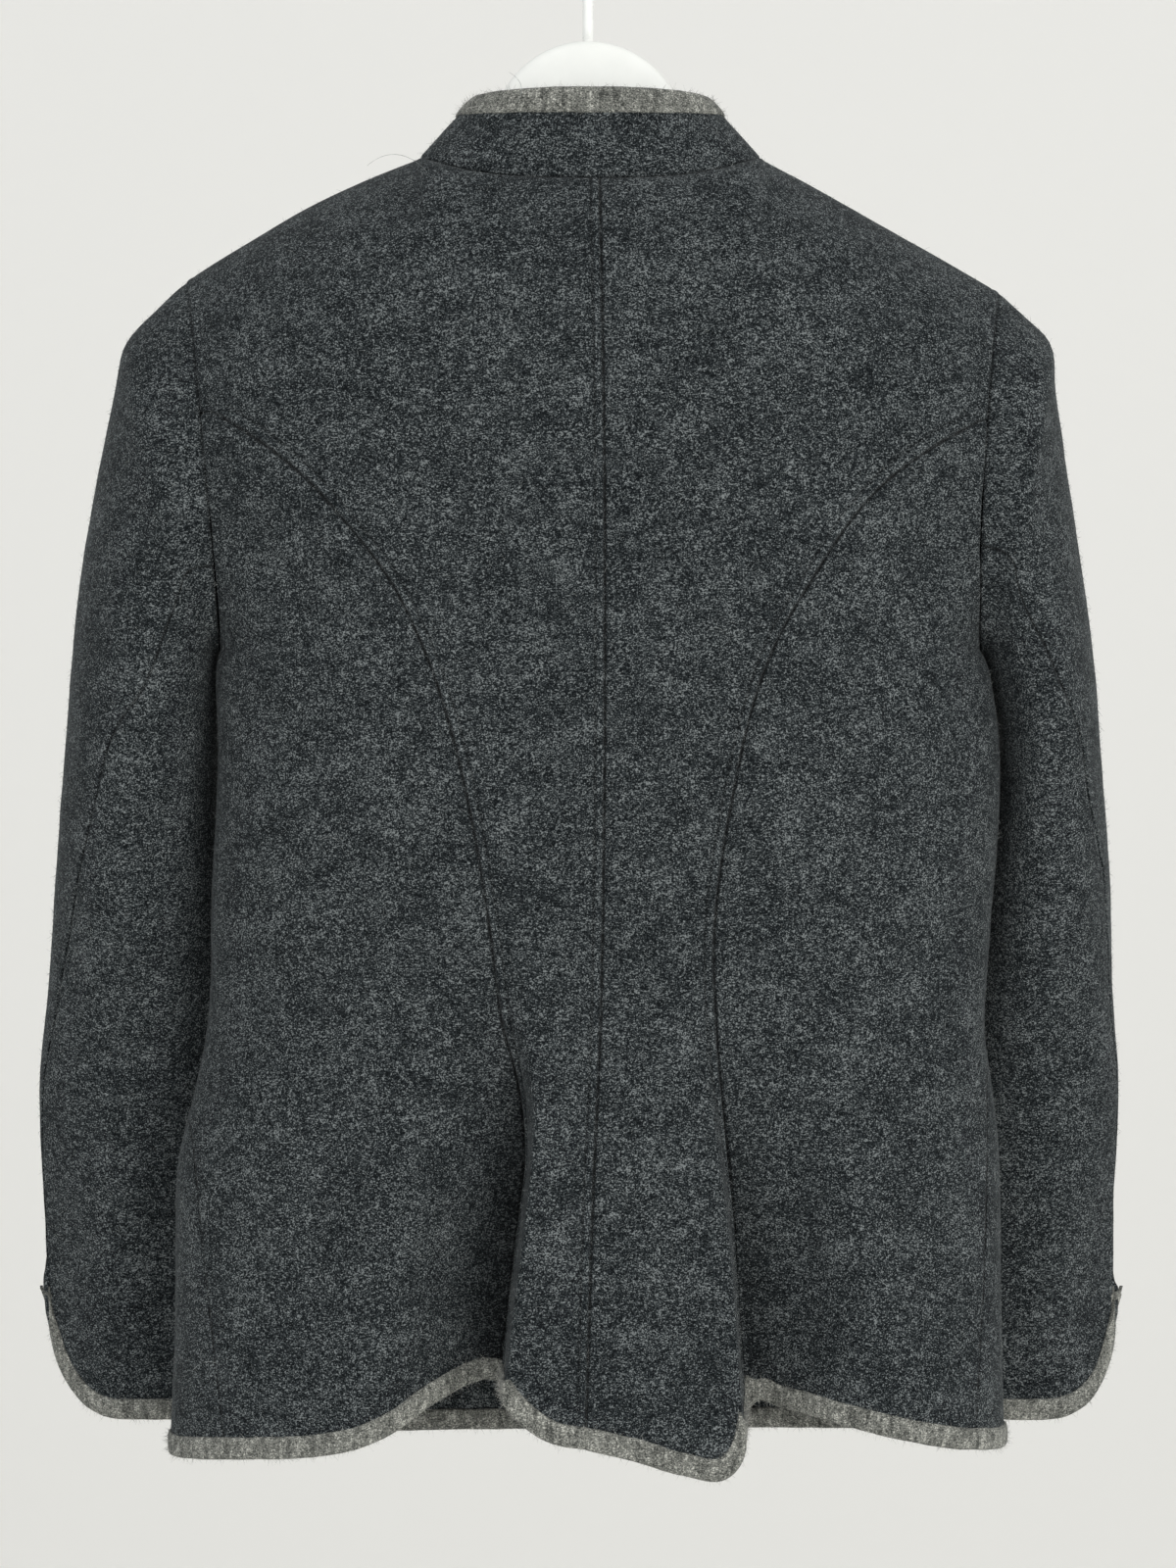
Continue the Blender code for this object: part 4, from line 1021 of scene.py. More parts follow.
def seamShades(where):
    # painted shade in the seams, along the topstitching and in the valleys beside the tail, and a painted
    # highlight on the ridge beside the topstitching, from the distances and shade amounts kept with the mesh
    def kept(name):
        return where.node("ShaderNodeAttribute", {"attribute_name": name}, None, "Fac")

    stitch = kept("stitchDistance")
    # noise that breaks up the painted seam shade
    wearAndShadeBreakup = noiseAt(where, 170.0, 2.0, 0.6).between(0.38, 0.60, 0.3, 1.15)
    groove = kept("seamDistance").maths("ABSOLUTE").between(0.25, 1.2, 1.0, 0.0) * kept("seamStrength") * wearAndShadeBreakup
    hole = (stitch - relief["stitchAt"]).maths("ABSOLUTE").between(0.2, 1.2, 1.0, 0.0)
    # a painted highlight on the raised ridge between the seam and the stitching
    roll = (stitch - relief["ridgeAt"]).maths("ABSOLUTE").between(0.5, 1.8, 1.0, 0.0)
    # painted shade in the seam grooves and along the stitching's sunk line
    shade = (1.0 - groove * felt["seamShade"]) * (1.0 - hole * felt["stitchShade"])
    # painted shade in the valleys beside the tail
    shade = shade * (1.0 - kept("hollow") * felt["paintedValleyShadeStrength"])
    return shade * (1.0 + roll * felt["ridgeShine"]), groove


def woolMaterial(name, colours, streaked):
    # heathered wool: the binding is streaked across, the felt gets painted shade in its seams and valleys and
    # a painted highlight on its topstitched ridges
    made, shader, where = newMaterial(name)
    layers = {
        "flecks": flecksAt(where, wool["flecks"]["scale"]),
        "grain": noiseAt(where, wool["grain"]["scale"], 1.0, 0.5),
        "tufts": noiseAt(where, wool["tufts"]["scale"], 2.0, 0.6, (0, 10, 0), (0.7, 1, 1)),
        "clouds": noiseAt(where, wool["clouds"]["scale"], 3.0, 0.6, (0, 0, 0), (0.6, 1, 1)),
    }
    tone = sum((layer * wool[title]["tone"] for title, layer in layers.items()), wool["lift"])
    if streaked:
        streaks = noiseAt(where, wool["streaks"]["scale"], 2.0, 0.6, (0, 0, 0), (1, 1, 0.22))
        tone = tone * wool["streaks"]["rest"] + streaks * wool["streaks"]["tone"]
    low, middle, high = colours["window"]
    shaded = tone.between(low, middle).blend(colours["dark"], colours["middle"])
    colour = tone.between(middle, high).blend(shaded, colours["light"])
    height = sum(layers[title] * wool[title]["height"] for title in ("flecks", "grain", "tufts"))
    if not streaked:
        shade, groove = seamShades(where)
        colour = where.node("ShaderNodeVectorMath", {"operation": "SCALE"}, {0: colour, "Scale": shade})
        height = height - groove * 1.2
    setSocket(shader, "Base Color", colour)
    setSocket(shader, "Roughness", felt["roughness"])
    setSocket(shader, "Sheen Weight", felt["sheen"])
    setSocket(shader, "Sheen Roughness", 0.5)
    setSocket(shader, "Sheen Tint", (0.75, 0.80, 0.82, 1))
    setSocket(shader, "Specular IOR Level", 0.15)
    bump = where.node("ShaderNodeBump", None, {
        "Strength": wool["bump"], "Distance": wool["bumpDistance"], "Height": height})
    setSocket(shader, "Normal", bump)
    return made


def plasticMaterial(name, colour, roughness):
    made, shader, where = newMaterial(name)
    wearAndShadeBreakup = noiseAt(where, 60.0, 4.0, 0.6)
    tint = wearAndShadeBreakup.between(0.35, 0.75).blend(tuple(0.97 * c for c in colour) + (1,), tuple(colour) + (1,))
    setSocket(shader, "Base Color", tint)
    setSocket(shader, "Roughness", wearAndShadeBreakup * 0.12 + (roughness - 0.06))
    setSocket(shader, "Coat Weight", 0.25)
    ripple = noiseAt(where, 220.0, 2.0, 0.5)
    bump = where.node("ShaderNodeBump", None, {"Strength": 0.08, "Distance": 0.0004, "Height": ripple})
    setSocket(shader, "Normal", bump)
    return made


def threadMaterial():
    made, shader, where = newMaterial("sewing_thread")
    twist = noiseAt(where, 900.0, 1.0, 0.5)
    setSocket(shader, "Base Color", twist.blend((0.006, 0.007, 0.008, 1), (0.020, 0.022, 0.024, 1)))
    setSocket(shader, "Roughness", 0.75)
    return made


def fibreMaterial(name, dark, light):
    made, shader, where = newMaterial(name)
    setSocket(shader, "Base Color", noiseAt(where, 260.0, 1.0, 0.5).between(0.4, 0.62).blend(dark, light))
    setSocket(shader, "Roughness", 0.8)
    return made


print("materials")
feltCloth = woolMaterial("boiled_wool", felt, False)
braidCloth = woolMaterial("wool_binding", braid, True)
whitePlastic = plasticMaterial("hanger_plastic", (0.86, 0.87, 0.83), 0.32)
coatedWire = plasticMaterial("hook_coating", (0.86, 0.87, 0.84), 0.28)
thread = threadMaterial()
looseWool = fibreMaterial("loose_wool", (0.035, 0.040, 0.042, 1), (0.30, 0.32, 0.31, 1))
looseBraid = fibreMaterial("loose_binding_wool", (0.14, 0.14, 0.13, 1), (0.50, 0.50, 0.46, 1))


def finishPiece(made, material, nodes):
    made.data.materials.clear()
    made.data.materials.append(material)
    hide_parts(*nodes)
    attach(made, "root")
    return made


def clothPiece(name, grid, distances, face, seams, kept, facing=None):
    # a panel with its relief and material; gives back its outer points and their directions
    normals = gridNormals(grid, facing)
    depth, values = reliefOf(grid, face, distances, seams, kept)
    outer = grid + normals * depth[:, :, None]
    made = shell(name + "_cloth", outer, gridNormals(outer, facing), jacket["wall"], values)
    finishPiece(made, feltCloth, [name])
    across = np.linalg.norm(np.diff(grid, axis=1), axis=2)
    down = np.linalg.norm(np.diff(grid, axis=0), axis=2)
    area = float((across[:-1].mean(axis=1) * down.mean(axis=1)).sum()) * mm**2 * across.shape[1]
    flat = (across.sum(axis=1).max() * mm, down.sum(axis=0).max() * mm)
    area = min(area, 0.999 * flat[0] * flat[1])
    print(name, "flat", [round(v, 3) for v in flat], "area", round(area, 4))
    return outer, normals


print("torso")
borders = {}
for side in (-1, 1):
    name = sideName(side)
    centre, beside, centreStretch, besideStretch = backGrids(side, (58, 54))
    rowValues = np.array(torsoRowValues())
    soft = relief["armhole"]
    distances = edgeDistances(centre, centreStretch)
    distances["hollow"] = paintedValleyShadeOf(centre, side, distances["last"] * 4.0)  # the painted shade falls off fast here, so the crest stays light
    curved = np.where(rowValues > jacket["princessRow"] + 1e-6, 1.0, soft)
    middle = "stitched" if side < 0 else "plain"
    seams = [("first", middle, 1.0), ("last", "slanted", curved), ("top", "plain", 1.0)]
    borders["centre", side] = clothPiece(
        f"back_centre_{name}", centre, distances, "back", seams, ("top",), facing=-1)
    gaps = sideSeamGaps(beside, side)
    distances = edgeDistances(beside)
    distances["gap"] = -gaps[:, None]
    # painted shade in the valley beside the tail, falling off from the curved seam
    distances["hollow"] = paintedValleyShadeOf(beside, side, distances["first"])
    lateral = np.where(rowValues[-len(gaps):] > 1, 1.0, soft)
    seams = [("first", "plain", 1.0), ("last", "turned", lateral)]
    borders["beside", side] = clothPiece(
        f"back_side_{name}", beside, distances, "back", seams, (), facing=-1)
    front = frontGrid(side, 62)
    distances = edgeDistances(front)
    distances["gap"] = np.concatenate([np.zeros(len(front) - len(gaps)), gaps])[:, None]
    lateral = np.where(rowValues > 1, 1.0, soft)
    seams = [("last", "turned", lateral), ("top", "plain", 1.0)]
    borders["front", side] = clothPiece(
        f"front_{name}", front, distances, "front", seams, ("top",), facing=1)

print("sleeves")
for side in (-1, 1):
    for piece, count in (("top", 58), ("under", 50)):
        grid = sleeveGrid(side, piece, count)
        distances = edgeDistances(grid)
        seams = [("first", "plain", 0.8), ("last", "plain", 0.8), ("top", "plain", relief["armhole"])]
        borders[piece, side] = clothPiece(
            f"sleeve_{piece}_{sideName(side)}", grid, distances, "sleeve", seams, ("top",))

print("collar")
collar = collarGrid(16)
borders["collar", 0] = clothPiece(
    "collar", collar, edgeDistances(collar), "collar", [("top", "plain", 0.8)], ())

print("bindings")


def edgeOf(key, reverse=False):
    # the last rows of a panel, from its edge inwards
    lines, normals = (values[-1:-8:-1] for values in borders[key])
    return (lines[:, ::-1], normals[:, ::-1]) if reverse else (lines, normals)


def joined(parts):
    # edges of neighbouring panels, one after the other, with no point twice
    starts = [0] + [1] * (len(parts) - 1)
    return [
        np.concatenate([part[k][:, start:] for part, start in zip(parts, starts)], axis=1) for k in (0, 1)]


def evenly(lines, normals):
    # stations at an even step along an edge, their normals smoothed
    step, softness = binding["station"], binding["evening"]
    arcs = arcLengths(lines[0])
    spots = np.linspace(0, arcs[-1], int(arcs[-1] / step) + 1)
    lines, normals = (np.array([onLine(row, arcs, spots) for row in values]) for values in (lines, normals))
    reach = int(3 * softness / step) + 1
    weights = np.exp(-(np.arange(-reach, reach + 1) * step / softness) ** 2 / 2)
    padded = np.pad(normals, ((0, 0), (reach, reach), (0, 0)), mode="edge")
    normals = sum(w * padded[:, i:i + len(spots)] for i, w in enumerate(weights))
    return lines, unitRows(normals)


def stripFor(name, parts, wider=0.0):
    lines, normals = evenly(*joined(parts))
    made, borders["strip", name] = bindingStrip(name + "_strip", lines, normals, wider)
    finishPiece(made, braidCloth, [name])


stripFor("hem_binding", [
    edgeOf(("front", -1)), edgeOf(("beside", -1), reverse=True), edgeOf(("centre", -1), reverse=True),
    edgeOf(("centre", 1)), edgeOf(("beside", 1)), edgeOf(("front", 1), reverse=True)])
for side in (-1, 1):
    stripFor(f"cuff_binding_{sideName(side)}", [
        edgeOf(("top", side)), edgeOf(("under", side), reverse=True)])
    down = [values[::-1, :14].swapaxes(0, 1) if side < 0 else values[::-1, :-15:-1].swapaxes(0, 1)
            for values in borders["collar", 0]]
    front = [values[:, :14].swapaxes(0, 1) for values in borders["front", side]]
    stripFor(f"front_binding_{sideName(side)}", [down, front])
stripFor("collar_binding", [edgeOf(("collar", 0))], binding["collarWider"])

print("stitches")

stitching = {"pitch": 3.4, "length": 2.3, "thickness": 0.38, "sunk": 0.25}


def nodeAdder(tree):
    # makes nodes with their settings, values and links given by name
    def add(kind, settings=None, **links):
        node = tree.nodes.new(kind)
        for name, value in (settings or {}).items():
            setattr(node, name, value)
        for name, value in links.items():
            socket = node.inputs[name.replace("_", " ")]
            if isinstance(value, bpy.types.NodeSocket):
                tree.links.new(value, socket)
            else:
                socket.default_value = value
        return node

    return add


def stitchTree():
    tree = bpy.data.node_groups.new("stitch_row", "GeometryNodeTree")
    for title, kind in (("Geometry", "NodeSocketGeometry"), ("Pitch", "NodeSocketFloat"),
                        ("Length", "NodeSocketFloat"), ("Thickness", "NodeSocketFloat"),
                        ("Material", "NodeSocketMaterial")):
        tree.interface.new_socket(title, in_out="INPUT", socket_type=kind)
    tree.interface.new_socket("Geometry", in_out="OUTPUT", socket_type="NodeSocketGeometry")
    start = tree.nodes.new("NodeGroupInput")
    finish = tree.nodes.new("NodeGroupOutput")

    add = nodeAdder(tree)
    points = add("GeometryNodeCurveToPoints", {"mode": "LENGTH"}, Curve=start.outputs["Geometry"],
                 Length=start.outputs["Pitch"])
    bead = add("GeometryNodeMeshIcoSphere", None, Radius=0.5, Subdivisions=1)
    size = add("ShaderNodeCombineXYZ", None, X=start.outputs["Thickness"], Y=start.outputs["Thickness"],
               Z=start.outputs["Length"])
    placed = add("GeometryNodeInstanceOnPoints", None, Points=points.outputs["Points"],
                 Instance=bead.outputs["Mesh"], Rotation=points.outputs["Rotation"], Scale=size.outputs[0])
    real = add("GeometryNodeRealizeInstances", None, Geometry=placed.outputs["Instances"])
    shown = add("GeometryNodeSetMaterial", None, Geometry=real.outputs["Geometry"],
                Material=start.outputs["Material"])
    tree.links.new(shown.outputs["Geometry"], finish.inputs[0])
    return tree


def setInputs(modifier, values):
    for item in modifier.node_group.interface.items_tree:
        if item.in_out == "INPUT" and item.name in values:
            modifier[item.identifier] = values[item.name]


def plainMesh(source, name):
    # the modifiers' result as a mesh of its own
    depsgraph = bpy.context.evaluated_depsgraph_get()
    mesh = bpy.data.meshes.new_from_object(source.evaluated_get(depsgraph))
    bpy.data.objects.remove(source)
    made = bpy.data.objects.new(name, mesh)
    bpy.context.scene.collection.objects.link(made)
    return made


def lineAtDistance(rows, fromEnd):
    # the points of a panel's rows at a true distance from a border
    found = []
    for line, reach in rows:
        walked = line[::-1] if fromEnd else line
        found.append(onLine(walked, arcLengths(walked), np.array([reach]))[0])
    return np.array(found)


def stitchRows():
    lines = []
    for side in (-1, 1):
        outer, normals = borders["centre", side]
        stretch = stretches[side]
        sunk = outer - normals * stitching["sunk"]
        first = int(np.argmax(stretch > 1.0))
        rows = [(sunk[i], relief["stitchAt"] * stretch[i]) for i in range(first + 1, len(outer) - 3)]
        lines.append(lineAtDistance(rows, True))
        if side < 0:
            rows = [(sunk[i], relief["stitchAt"]) for i in range(1, len(outer) - 3)]
            lines.append(lineAtDistance(rows, False))
    return lines


stretches = {}
for side in (-1, 1):
    drops = -borders["centre", side][0][:, -1, 2]
    stretches[side] = np.array([
        seamStretch(side, drop) if row > jacket["princessRow"] + 1e-6 else 1.0
        for drop, row in zip(drops, torsoRowValues())])

threadCurve = bpy.data.curves.new("topstitching", "CURVE")
threadCurve.dimensions = "3D"
for line in stitchRows():
    spline = threadCurve.splines.new("POLY")
    spline.points.add(len(line) - 1)
    for spot, found in zip(spline.points, line):
        spot.co = (*(found * mm), 1.0)
stitchSource = bpy.data.objects.new("topstitching_lines", threadCurve)
bpy.context.scene.collection.objects.link(stitchSource)
rowsModifier = stitchSource.modifiers.new("stitches", "NODES")
rowsModifier.node_group = stitchTree()
setInputs(rowsModifier, {
    "Pitch": stitching["pitch"] * mm, "Length": stitching["length"] * mm,
    "Thickness": stitching["thickness"] * mm, "Material": thread})
topstitching = plainMesh(stitchSource, "topstitching")
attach(topstitching, "root")

print("loose fibres")

fibres = {
    "length": (1.6, 4.2), "thickness": 0.16, "tilt": (0.70, 1.45), "bend": 0.35,
    "torso": 14500, "limbs": 12500, "bindings": 10500,
    "bindingLength": (1.8, 4.6), "bindingTilt": (0.35, 1.35),
}


def fibreTree():
    tree = bpy.data.node_groups.new("loose_fibres", "GeometryNodeTree")
    for title, kind in (("Geometry", "NodeSocketGeometry"), ("Density", "NodeSocketFloat"),
                        ("Shortest", "NodeSocketFloat"), ("Longest", "NodeSocketFloat"),
                        ("Thickness", "NodeSocketFloat"), ("Least Tilt", "NodeSocketFloat"),
                        ("Most Tilt", "NodeSocketFloat"), ("Bend", "NodeSocketFloat"),
                        ("Seed", "NodeSocketInt"), ("Material", "NodeSocketMaterial")):
        tree.interface.new_socket(title, in_out="INPUT", socket_type=kind)
    tree.interface.new_socket("Geometry", in_out="OUTPUT", socket_type="NodeSocketGeometry")
    start = tree.nodes.new("NodeGroupInput").outputs
    finish = tree.nodes.new("NodeGroupOutput")
    add = nodeAdder(tree)
    points = add("GeometryNodeDistributePointsOnFaces", {"distribute_method": "RANDOM"},
                 Mesh=start["Geometry"], Density=start["Density"], Seed=start["Seed"])
    cone = add("GeometryNodeMeshCone", {"fill_type": "NONE"}, Vertices=3, Side_Segments=2, Radius_Top=0.12,
               Radius_Bottom=0.5, Depth=1.0)
    height = add("ShaderNodeSeparateXYZ", None, Vector=add("GeometryNodeInputPosition").outputs[0])
    square = add("ShaderNodeMath", {"operation": "POWER"}, Value=height.outputs["Z"])
    square.inputs[1].default_value = 2.0
    bend = add("ShaderNodeMath", {"operation": "MULTIPLY"}, Value=square.outputs[0])
    tree.links.new(start["Bend"], bend.inputs[1])
    lean = add("ShaderNodeCombineXYZ")
    strand = add("GeometryNodeSetPosition", None, Geometry=cone.outputs["Mesh"], Offset=lean.outputs[0])
    length = add("FunctionNodeRandomValue", {"data_type": "FLOAT"}, ID=1)
    for socket, name in ((2, "Shortest"), (3, "Longest")):
        tree.links.new(start[name], length.inputs[socket])
    tree.links.new(start["Seed"], length.inputs["Seed"])
    size = add("ShaderNodeCombineXYZ", None, X=start["Thickness"], Y=start["Thickness"], Z=length.outputs[1])
    share = add("ShaderNodeMath", {"operation": "MULTIPLY"}, Value=bend.outputs[0])
    share.inputs[1].default_value = 8.0
    tree.links.new(share.outputs[0], lean.inputs["X"])
    lowest = add("ShaderNodeCombineXYZ", None, X=start["Least Tilt"])
    highest = add("ShaderNodeCombineXYZ", None, X=start["Most Tilt"], Z=6.283)
    turn = add("FunctionNodeRandomValue", {"data_type": "FLOAT_VECTOR"})
    tree.links.new(lowest.outputs[0], turn.inputs[0])
    tree.links.new(highest.outputs[0], turn.inputs[1])
    euler = add("FunctionNodeEulerToRotation", None, Euler=turn.outputs[0])
    turned = add("FunctionNodeRotateRotation", {"rotation_space": "LOCAL"},
                 Rotation=points.outputs["Rotation"], Rotate_By=euler.outputs[0])
    placed = add("GeometryNodeInstanceOnPoints", None, Points=points.outputs["Points"],
                 Instance=strand.outputs["Geometry"], Rotation=turned.outputs[0], Scale=size.outputs[0])
    real = add("GeometryNodeRealizeInstances", None, Geometry=placed.outputs["Instances"])
    shown = add("GeometryNodeSetMaterial", None, Geometry=real.outputs["Geometry"],
                Material=start["Material"])
    tree.links.new(shown.outputs["Geometry"], finish.inputs[0])
    return tree


def skinObject(name, keys):
    # the outer surfaces of some panels as one open mesh
    points, faces = [], []
    for key in keys:
        outer, normals = borders[key]
        found = gridFaces(*outer.shape[:2], start=len(points))
        flat = outer.reshape(-1, 3)
        a, b, d = (flat[found[:, k] - len(points)] for k in (0, 1, 3))
        directions = normals.reshape(-1, 3)[found[:, 0] - len(points)]
        if np.sum(np.cross(b - a, d - a) * directions) < 0:
            found = found[:, ::-1]
        points += flat.tolist()
        faces += found.tolist()
    return newObject(name, points, faces)


def growFibres(name, source, count, material, seed, length, tilt):
    area = sum(face.area for face in source.data.polygons)
    modifier = source.modifiers.new("fibres", "NODES")
    modifier.node_group = bpy.data.node_groups.get("loose_fibres") or fibreTree()
    setInputs(modifier, {
        "Density": count / area, "Shortest": length[0] * mm, "Longest": length[1] * mm,
        "Thickness": fibres["thickness"] * mm, "Least Tilt": tilt[0], "Most Tilt": tilt[1],
        "Bend": fibres["bend"], "Seed": seed, "Material": material})
    made = plainMesh(source, name)
    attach(made, "root")
    return made


torsoKeys = [key for key in borders if key[0] in ("centre", "beside", "front")]
limbKeys = [key for key in borders if key[0] in ("top", "under", "collar")]
stripKeys = [key for key in borders if key[0] == "strip"]
for name, keys, count, material, seed, slot, length, tilt in (
        ("torso_nap", torsoKeys, fibres["torso"], looseWool, 3, "cloth", fibres["length"], fibres["tilt"]),
        ("sleeve_nap", limbKeys, fibres["limbs"], looseWool, 5, "cloth", fibres["length"], fibres["tilt"]),
        ("binding_nap", stripKeys, fibres["bindings"], looseBraid, 7, "binding",
         fibres["bindingLength"], fibres["bindingTilt"])):
    growFibres(name, skinObject(name + "_skin", keys), count, material, seed, length, tilt)

hair = {"radius": 0.14, "taper": 0.6, "rings": 15, "near": 5.0}

# single long hairs, by the marks of a bent line: x, drop and height over the cloth as seen from behind
hairs = (
    ((-86, 156, 0), (-96, 142, 2), (-108, 139, 2), (-119, 149, 2)),
    ((-196, 789, 0), (-213, 784, 7), (-207, 803, 4), (-226, 797, 1)),
    ((-38, 120, 0), (-31, 110, 4), (-42, 104, 5)),
    ((112, 800, 0), (120, 806, 5), (114, 812, 1)),
    ((62, 402, 0), (70, 396, 5), (74, 409, 1)),
    ((-142, 512, 0), (-133, 505, 5), (-128, 517, 1)),
)


def clothBehind(x, drop, last):
    # how far back the cloth lies at a place seen from behind, or the last place's depth beside it
    gaps = np.hypot(clothPoints[:, 0] - x, clothPoints[:, 2] + drop)
    near = clothPoints[gaps < hair["near"]]
    return near[:, 1].min() if len(near) else last


def hairTube(name, marks):
    spots, deep = [], 0.0
    for x, drop, height in marks:
        deep = clothBehind(x, drop, deep)
        spots.append(place(x, deep - height, drop))
    shares = np.linspace(0, 1, hair["rings"])
    degree = len(spots) - 1
    path = sum(np.outer(math.comb(degree, k) * shares**k * (1 - shares)**(degree - k), spot)
               for k, spot in enumerate(spots))
    along = unitRows(np.gradient(path, axis=0))
    rings = []
    for k, (spot, direction) in enumerate(zip(path, along)):
        first = np.cross(direction, (0.3, 0.9, 0.2))
        first /= np.linalg.norm(first)
        second = np.cross(direction, first)
        radius = hair["radius"] * (1 - hair["taper"] * k / len(path))
        turns = np.array([0, 2.09, 4.19])[:, None]
        rings.append(spot + radius * (first * np.cos(turns) + second * np.sin(turns)))
    return tube(name, rings)


clothPoints = np.concatenate([values[0].reshape(-1, 3) for values in borders.values()])
looseHairs = joinObjects("loose_hairs", [hairTube(f"hair_{k}", marks) for k, marks in enumerate(hairs)])
looseHairs.data.materials.append(looseWool)
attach(looseHairs, "root")

print("hanger")

hanger = {
    "hubRadius": 52.0, "hubCentreDrop": 132.0, "hubHalf": 5.0, "crease": 1.1,
    "armTip": 196.0, "armHeight": 17.0, "armHalf": 6.5, "armDip": 7.0, "armRise": 35.0,
    "cloth": 2.4, "armClearance": 1.9, "shoulderSlope": 28.0,
    "wire": 5.8, "hookRadius": 22.0, "straightTop": 54.0,
}


# the hub's section from its middle to its rim, as shares of its radius and half its thickness
hubProfile = ((0.02, 1.0), (0.5, 1.0), (0.82, 0.98), (0.93, 0.9), (0.975, 0.72), (0.993, 0.45), (1.0, 0.0))


def hubPoints():
    # rings of a disc with a round rim and a faint ridge down its middle
    profile = list(hubProfile)
    profile += [(r, -h) for r, h in profile[-2::-1]]
    rings = []
    for radius, height in profile:
        ring = []
        for angle in np.linspace(0, 2 * math.pi, 97)[:-1]:
            x = radius * hanger["hubRadius"] * math.cos(angle)
            z = radius * hanger["hubRadius"] * math.sin(angle)
            ridge = hanger["crease"] * (1 - abs(x) / hanger["hubRadius"]) * (1 if height > 0 else -1)
            y = -(height * hanger["hubHalf"] + ridge * min(abs(height) * 1.5, 1.0) - ridge * 0.6)
            ring.append((x, y, z - hanger["hubCentreDrop"]))
        rings.append(ring)
    return rings


def armSection(side, out):
    neck = neckSide(side)
    lay = (hanger["cloth"] + hanger["armClearance"]) / math.cos(math.radians(hanger["shoulderSlope"]))
    if out < neck:
        top = neckEdges["base"]["sideDrop"] + lay + hanger["armDip"]
    else:
        top = topLine(side, 1, out)[1] + lay
        top += hanger["armDip"] * (1 - smoothstep((out - neck) / hanger["armRise"]))
    ring = []
    for angle in np.linspace(0, 2 * math.pi, 25)[:-1]:
        deep = hanger["armHalf"] * np.sign(math.cos(angle)) * abs(math.cos(angle)) ** 0.7
        rise = hanger["armHeight"] / 2 * np.sign(math.sin(angle)) * abs(math.sin(angle)) ** 0.7
        ring.append(place(out, deep, top + hanger["armHeight"] / 2 - rise, side))
    return ring


hub = tube("hub", hubPoints())
arms = []
for side in (-1, 1):
    outs = np.concatenate([np.linspace(34, hanger["armTip"] - 3, 60), [194.5, 195.6]])
    sections = [np.array(armSection(side, out)) for out in outs]
    for k, share in ((-2, 0.82), (-1, 0.5)):
        middle = sections[k].mean(axis=0)
        sections[k] = middle + (sections[k] - middle) * share
    arms.append(tube(f"arm_{sideName(side)}", sections))


finishPiece(joinObjects("hanger_moulding", [hub] + arms), whitePlastic, ["hanger_body"])


def hookPath():
    radius = hanger["hookRadius"] + hanger["wire"] / 2
    path = [place(0, 0, drop) for drop in (84.0, 72.0, 60.0, hanger["straightTop"])]
    path.append(place(2.6, 0, hanger["straightTop"] - 4.2))
    for angle in np.linspace(math.radians(-64), math.radians(205), 48):
        path.append(place(radius * math.cos(angle), 0, hanger["hookRadius"] - radius * math.sin(angle)))
    return np.array(path)


def wireTube(name, path, radius, size=16):
    along = unitRows(np.gradient(path, axis=0))
    rings = []
    for spot, direction in zip(path, along):
        across = np.cross(direction, (0, 1, 0))
        ring = [spot + radius * (across * math.cos(a) + np.array([0, 1, 0]) * math.sin(a))
                for a in np.linspace(0, 2 * math.pi, size + 1)[:-1]]
        rings.append(ring)
    start, end = np.array(rings[0]), np.array(rings[-1])
    cap = path[-1] + (end - path[-1]) * 0.6 + along[-1] * radius * 0.7
    return tube(name, [start] + rings[1:-1] + [end, cap])


finishPiece(wireTube("hook_wire", hookPath(), hanger["wire"] / 2), coatedWire, ["hanger_hook"])

print("stage")

stage = {
    "wallBehind": 3.1, "floorDrop": 1.8, "reach": 6.0, "round": 0.3,
    "cameraBack": 2.4, "cameraDrop": 0.4817, "lens": 101.9, "lampTarget": (0, 0, -0.6),
    "wallColour": (0.850, 0.843, 0.812, 1),
    "skyStrength": 1.03, "horizon": (0.945, 0.95, 0.96, 1), "zenith": (0.52, 0.53, 0.54, 1),
}


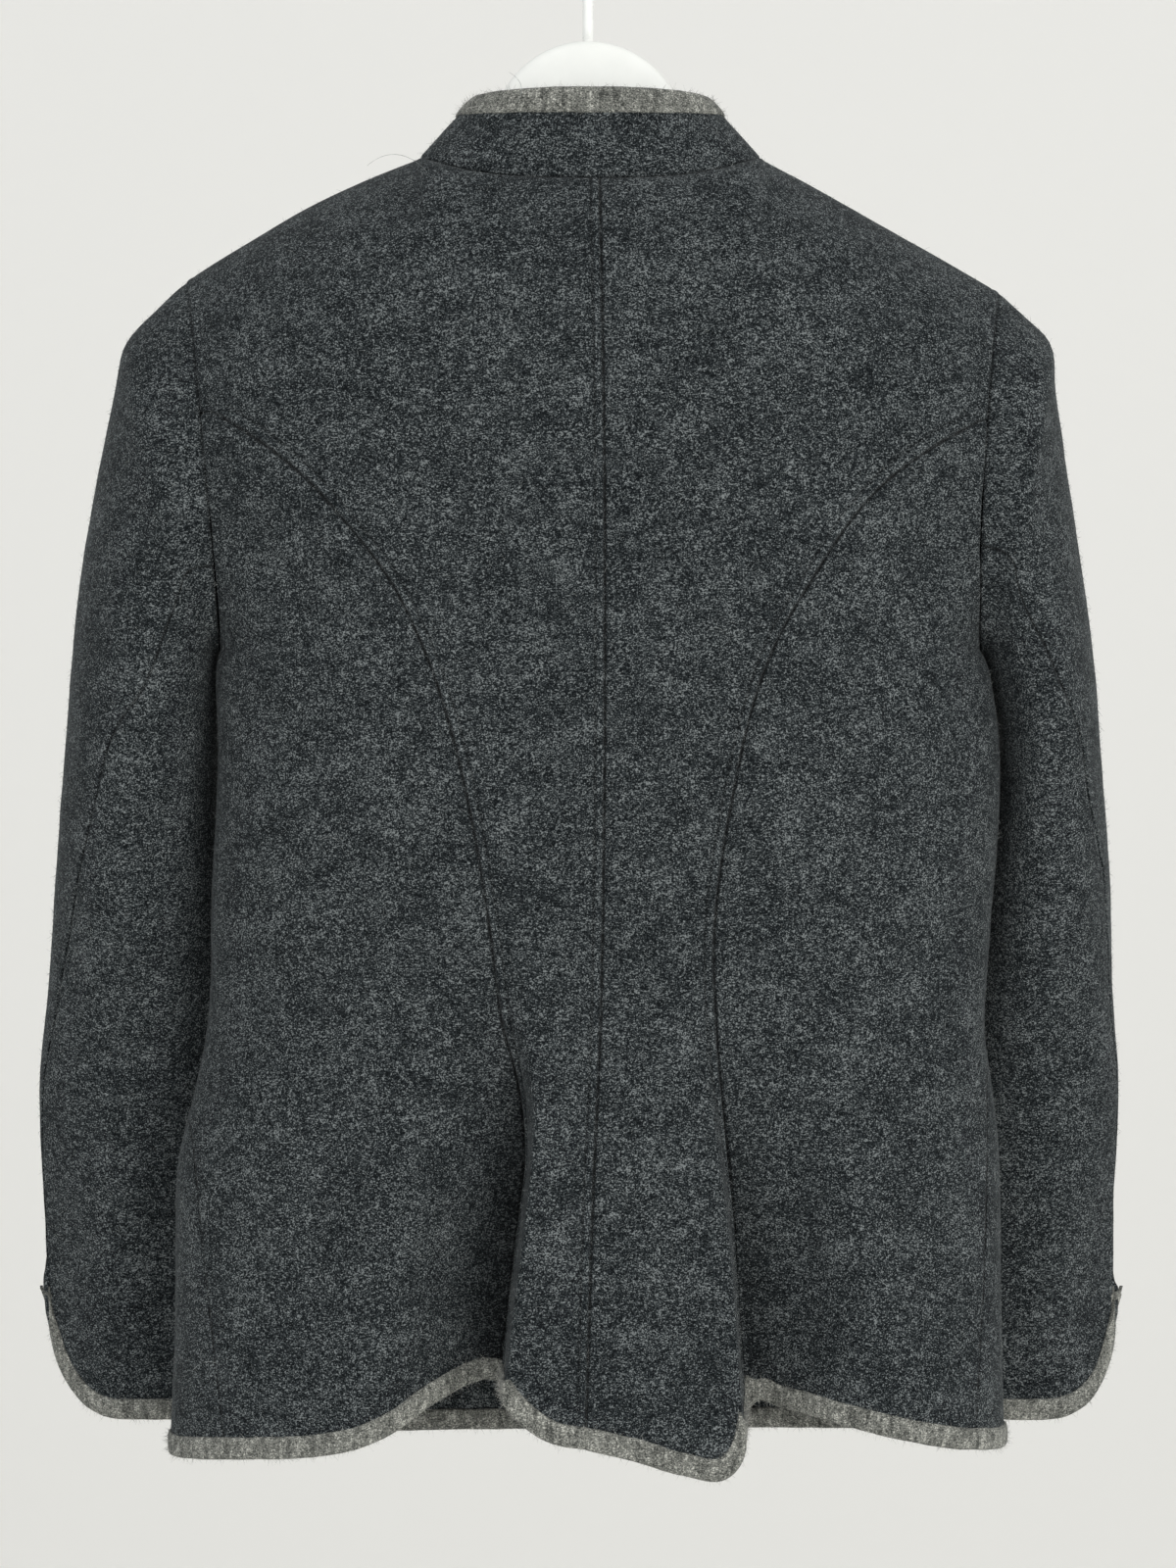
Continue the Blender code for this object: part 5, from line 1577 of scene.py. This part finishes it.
def backdrop():
    # one sheet that runs from the floor up the wall on a wide round
    path = [(-stage["reach"], -stage["floorDrop"])]
    corner = stage["wallBehind"] - stage["round"]
    for angle in np.linspace(0, math.pi / 2, 13):
        path.append((corner + stage["round"] * math.sin(angle),
                     -stage["floorDrop"] + stage["round"] * (1 - math.cos(angle))))
    path.append((stage["wallBehind"], stage["reach"]))
    points = [(x, y, z) for x in (-stage["reach"], stage["reach"]) for y, z in path]
    count = len(path)
    faces = [(count + i, count + i + 1, i + 1, i) for i in range(count - 1)]
    made = newObject("backdrop", np.array(points) / mm, faces)
    material, shader = newMaterial("pale_backdrop")[:2]
    setSocket(shader, "Base Color", stage["wallColour"])
    setSocket(shader, "Roughness", 0.9)
    made.data.materials.append(material)


# name, place, size, power and colour
lamps = (
    ("key", (2.1, -3.1, 0.1), 1.8, 62, (1.0, 0.99, 0.965)),
    ("fill", (-2.0, -3.1, -0.2), 2.4, 19, (0.97, 0.985, 1.0)),
)


def softLight(name, spot, size, power, colour):
    light = bpy.data.lights.new(name, "AREA")
    light.shape = "DISK"
    light.size = size
    light.energy = power
    light.color = colour
    made = bpy.data.objects.new(name, light)
    made.location = spot
    made.rotation_euler = (Vector(stage["lampTarget"]) - Vector(spot)).to_track_quat("-Z", "Y").to_euler()
    bpy.context.scene.collection.objects.link(made)


def addCamera():
    camera = bpy.data.cameras.new("camera")
    camera.lens = stage["lens"]
    camera.sensor_fit = "VERTICAL"
    camera.sensor_height = 36.0
    made = bpy.data.objects.new("camera", camera)
    made.location = (0, -stage["cameraBack"], -stage["cameraDrop"])
    made.rotation_euler = (math.radians(90), 0, 0)
    bpy.context.scene.collection.objects.link(made)
    bpy.context.scene.camera = made


backdrop()
for lamp in lamps:
    softLight(*lamp)
world = bpy.data.worlds.new("studio")
world.use_nodes = True
sky = world.node_tree.nodes["Background"]
setSocket(sky, "Strength", stage["skyStrength"])
direction = Signal(world.node_tree, world.node_tree.nodes.new("ShaderNodeTexCoord").outputs["Generated"])
upwards = direction.node("ShaderNodeSeparateXYZ", None, {"Vector": direction}, 2)
setSocket(sky, "Color", upwards.between(0.1, 0.9).blend(stage["horizon"], stage["zenith"]))
bpy.context.scene.world = world
bpy.context.scene.view_settings.view_transform = "Standard"
addCamera()
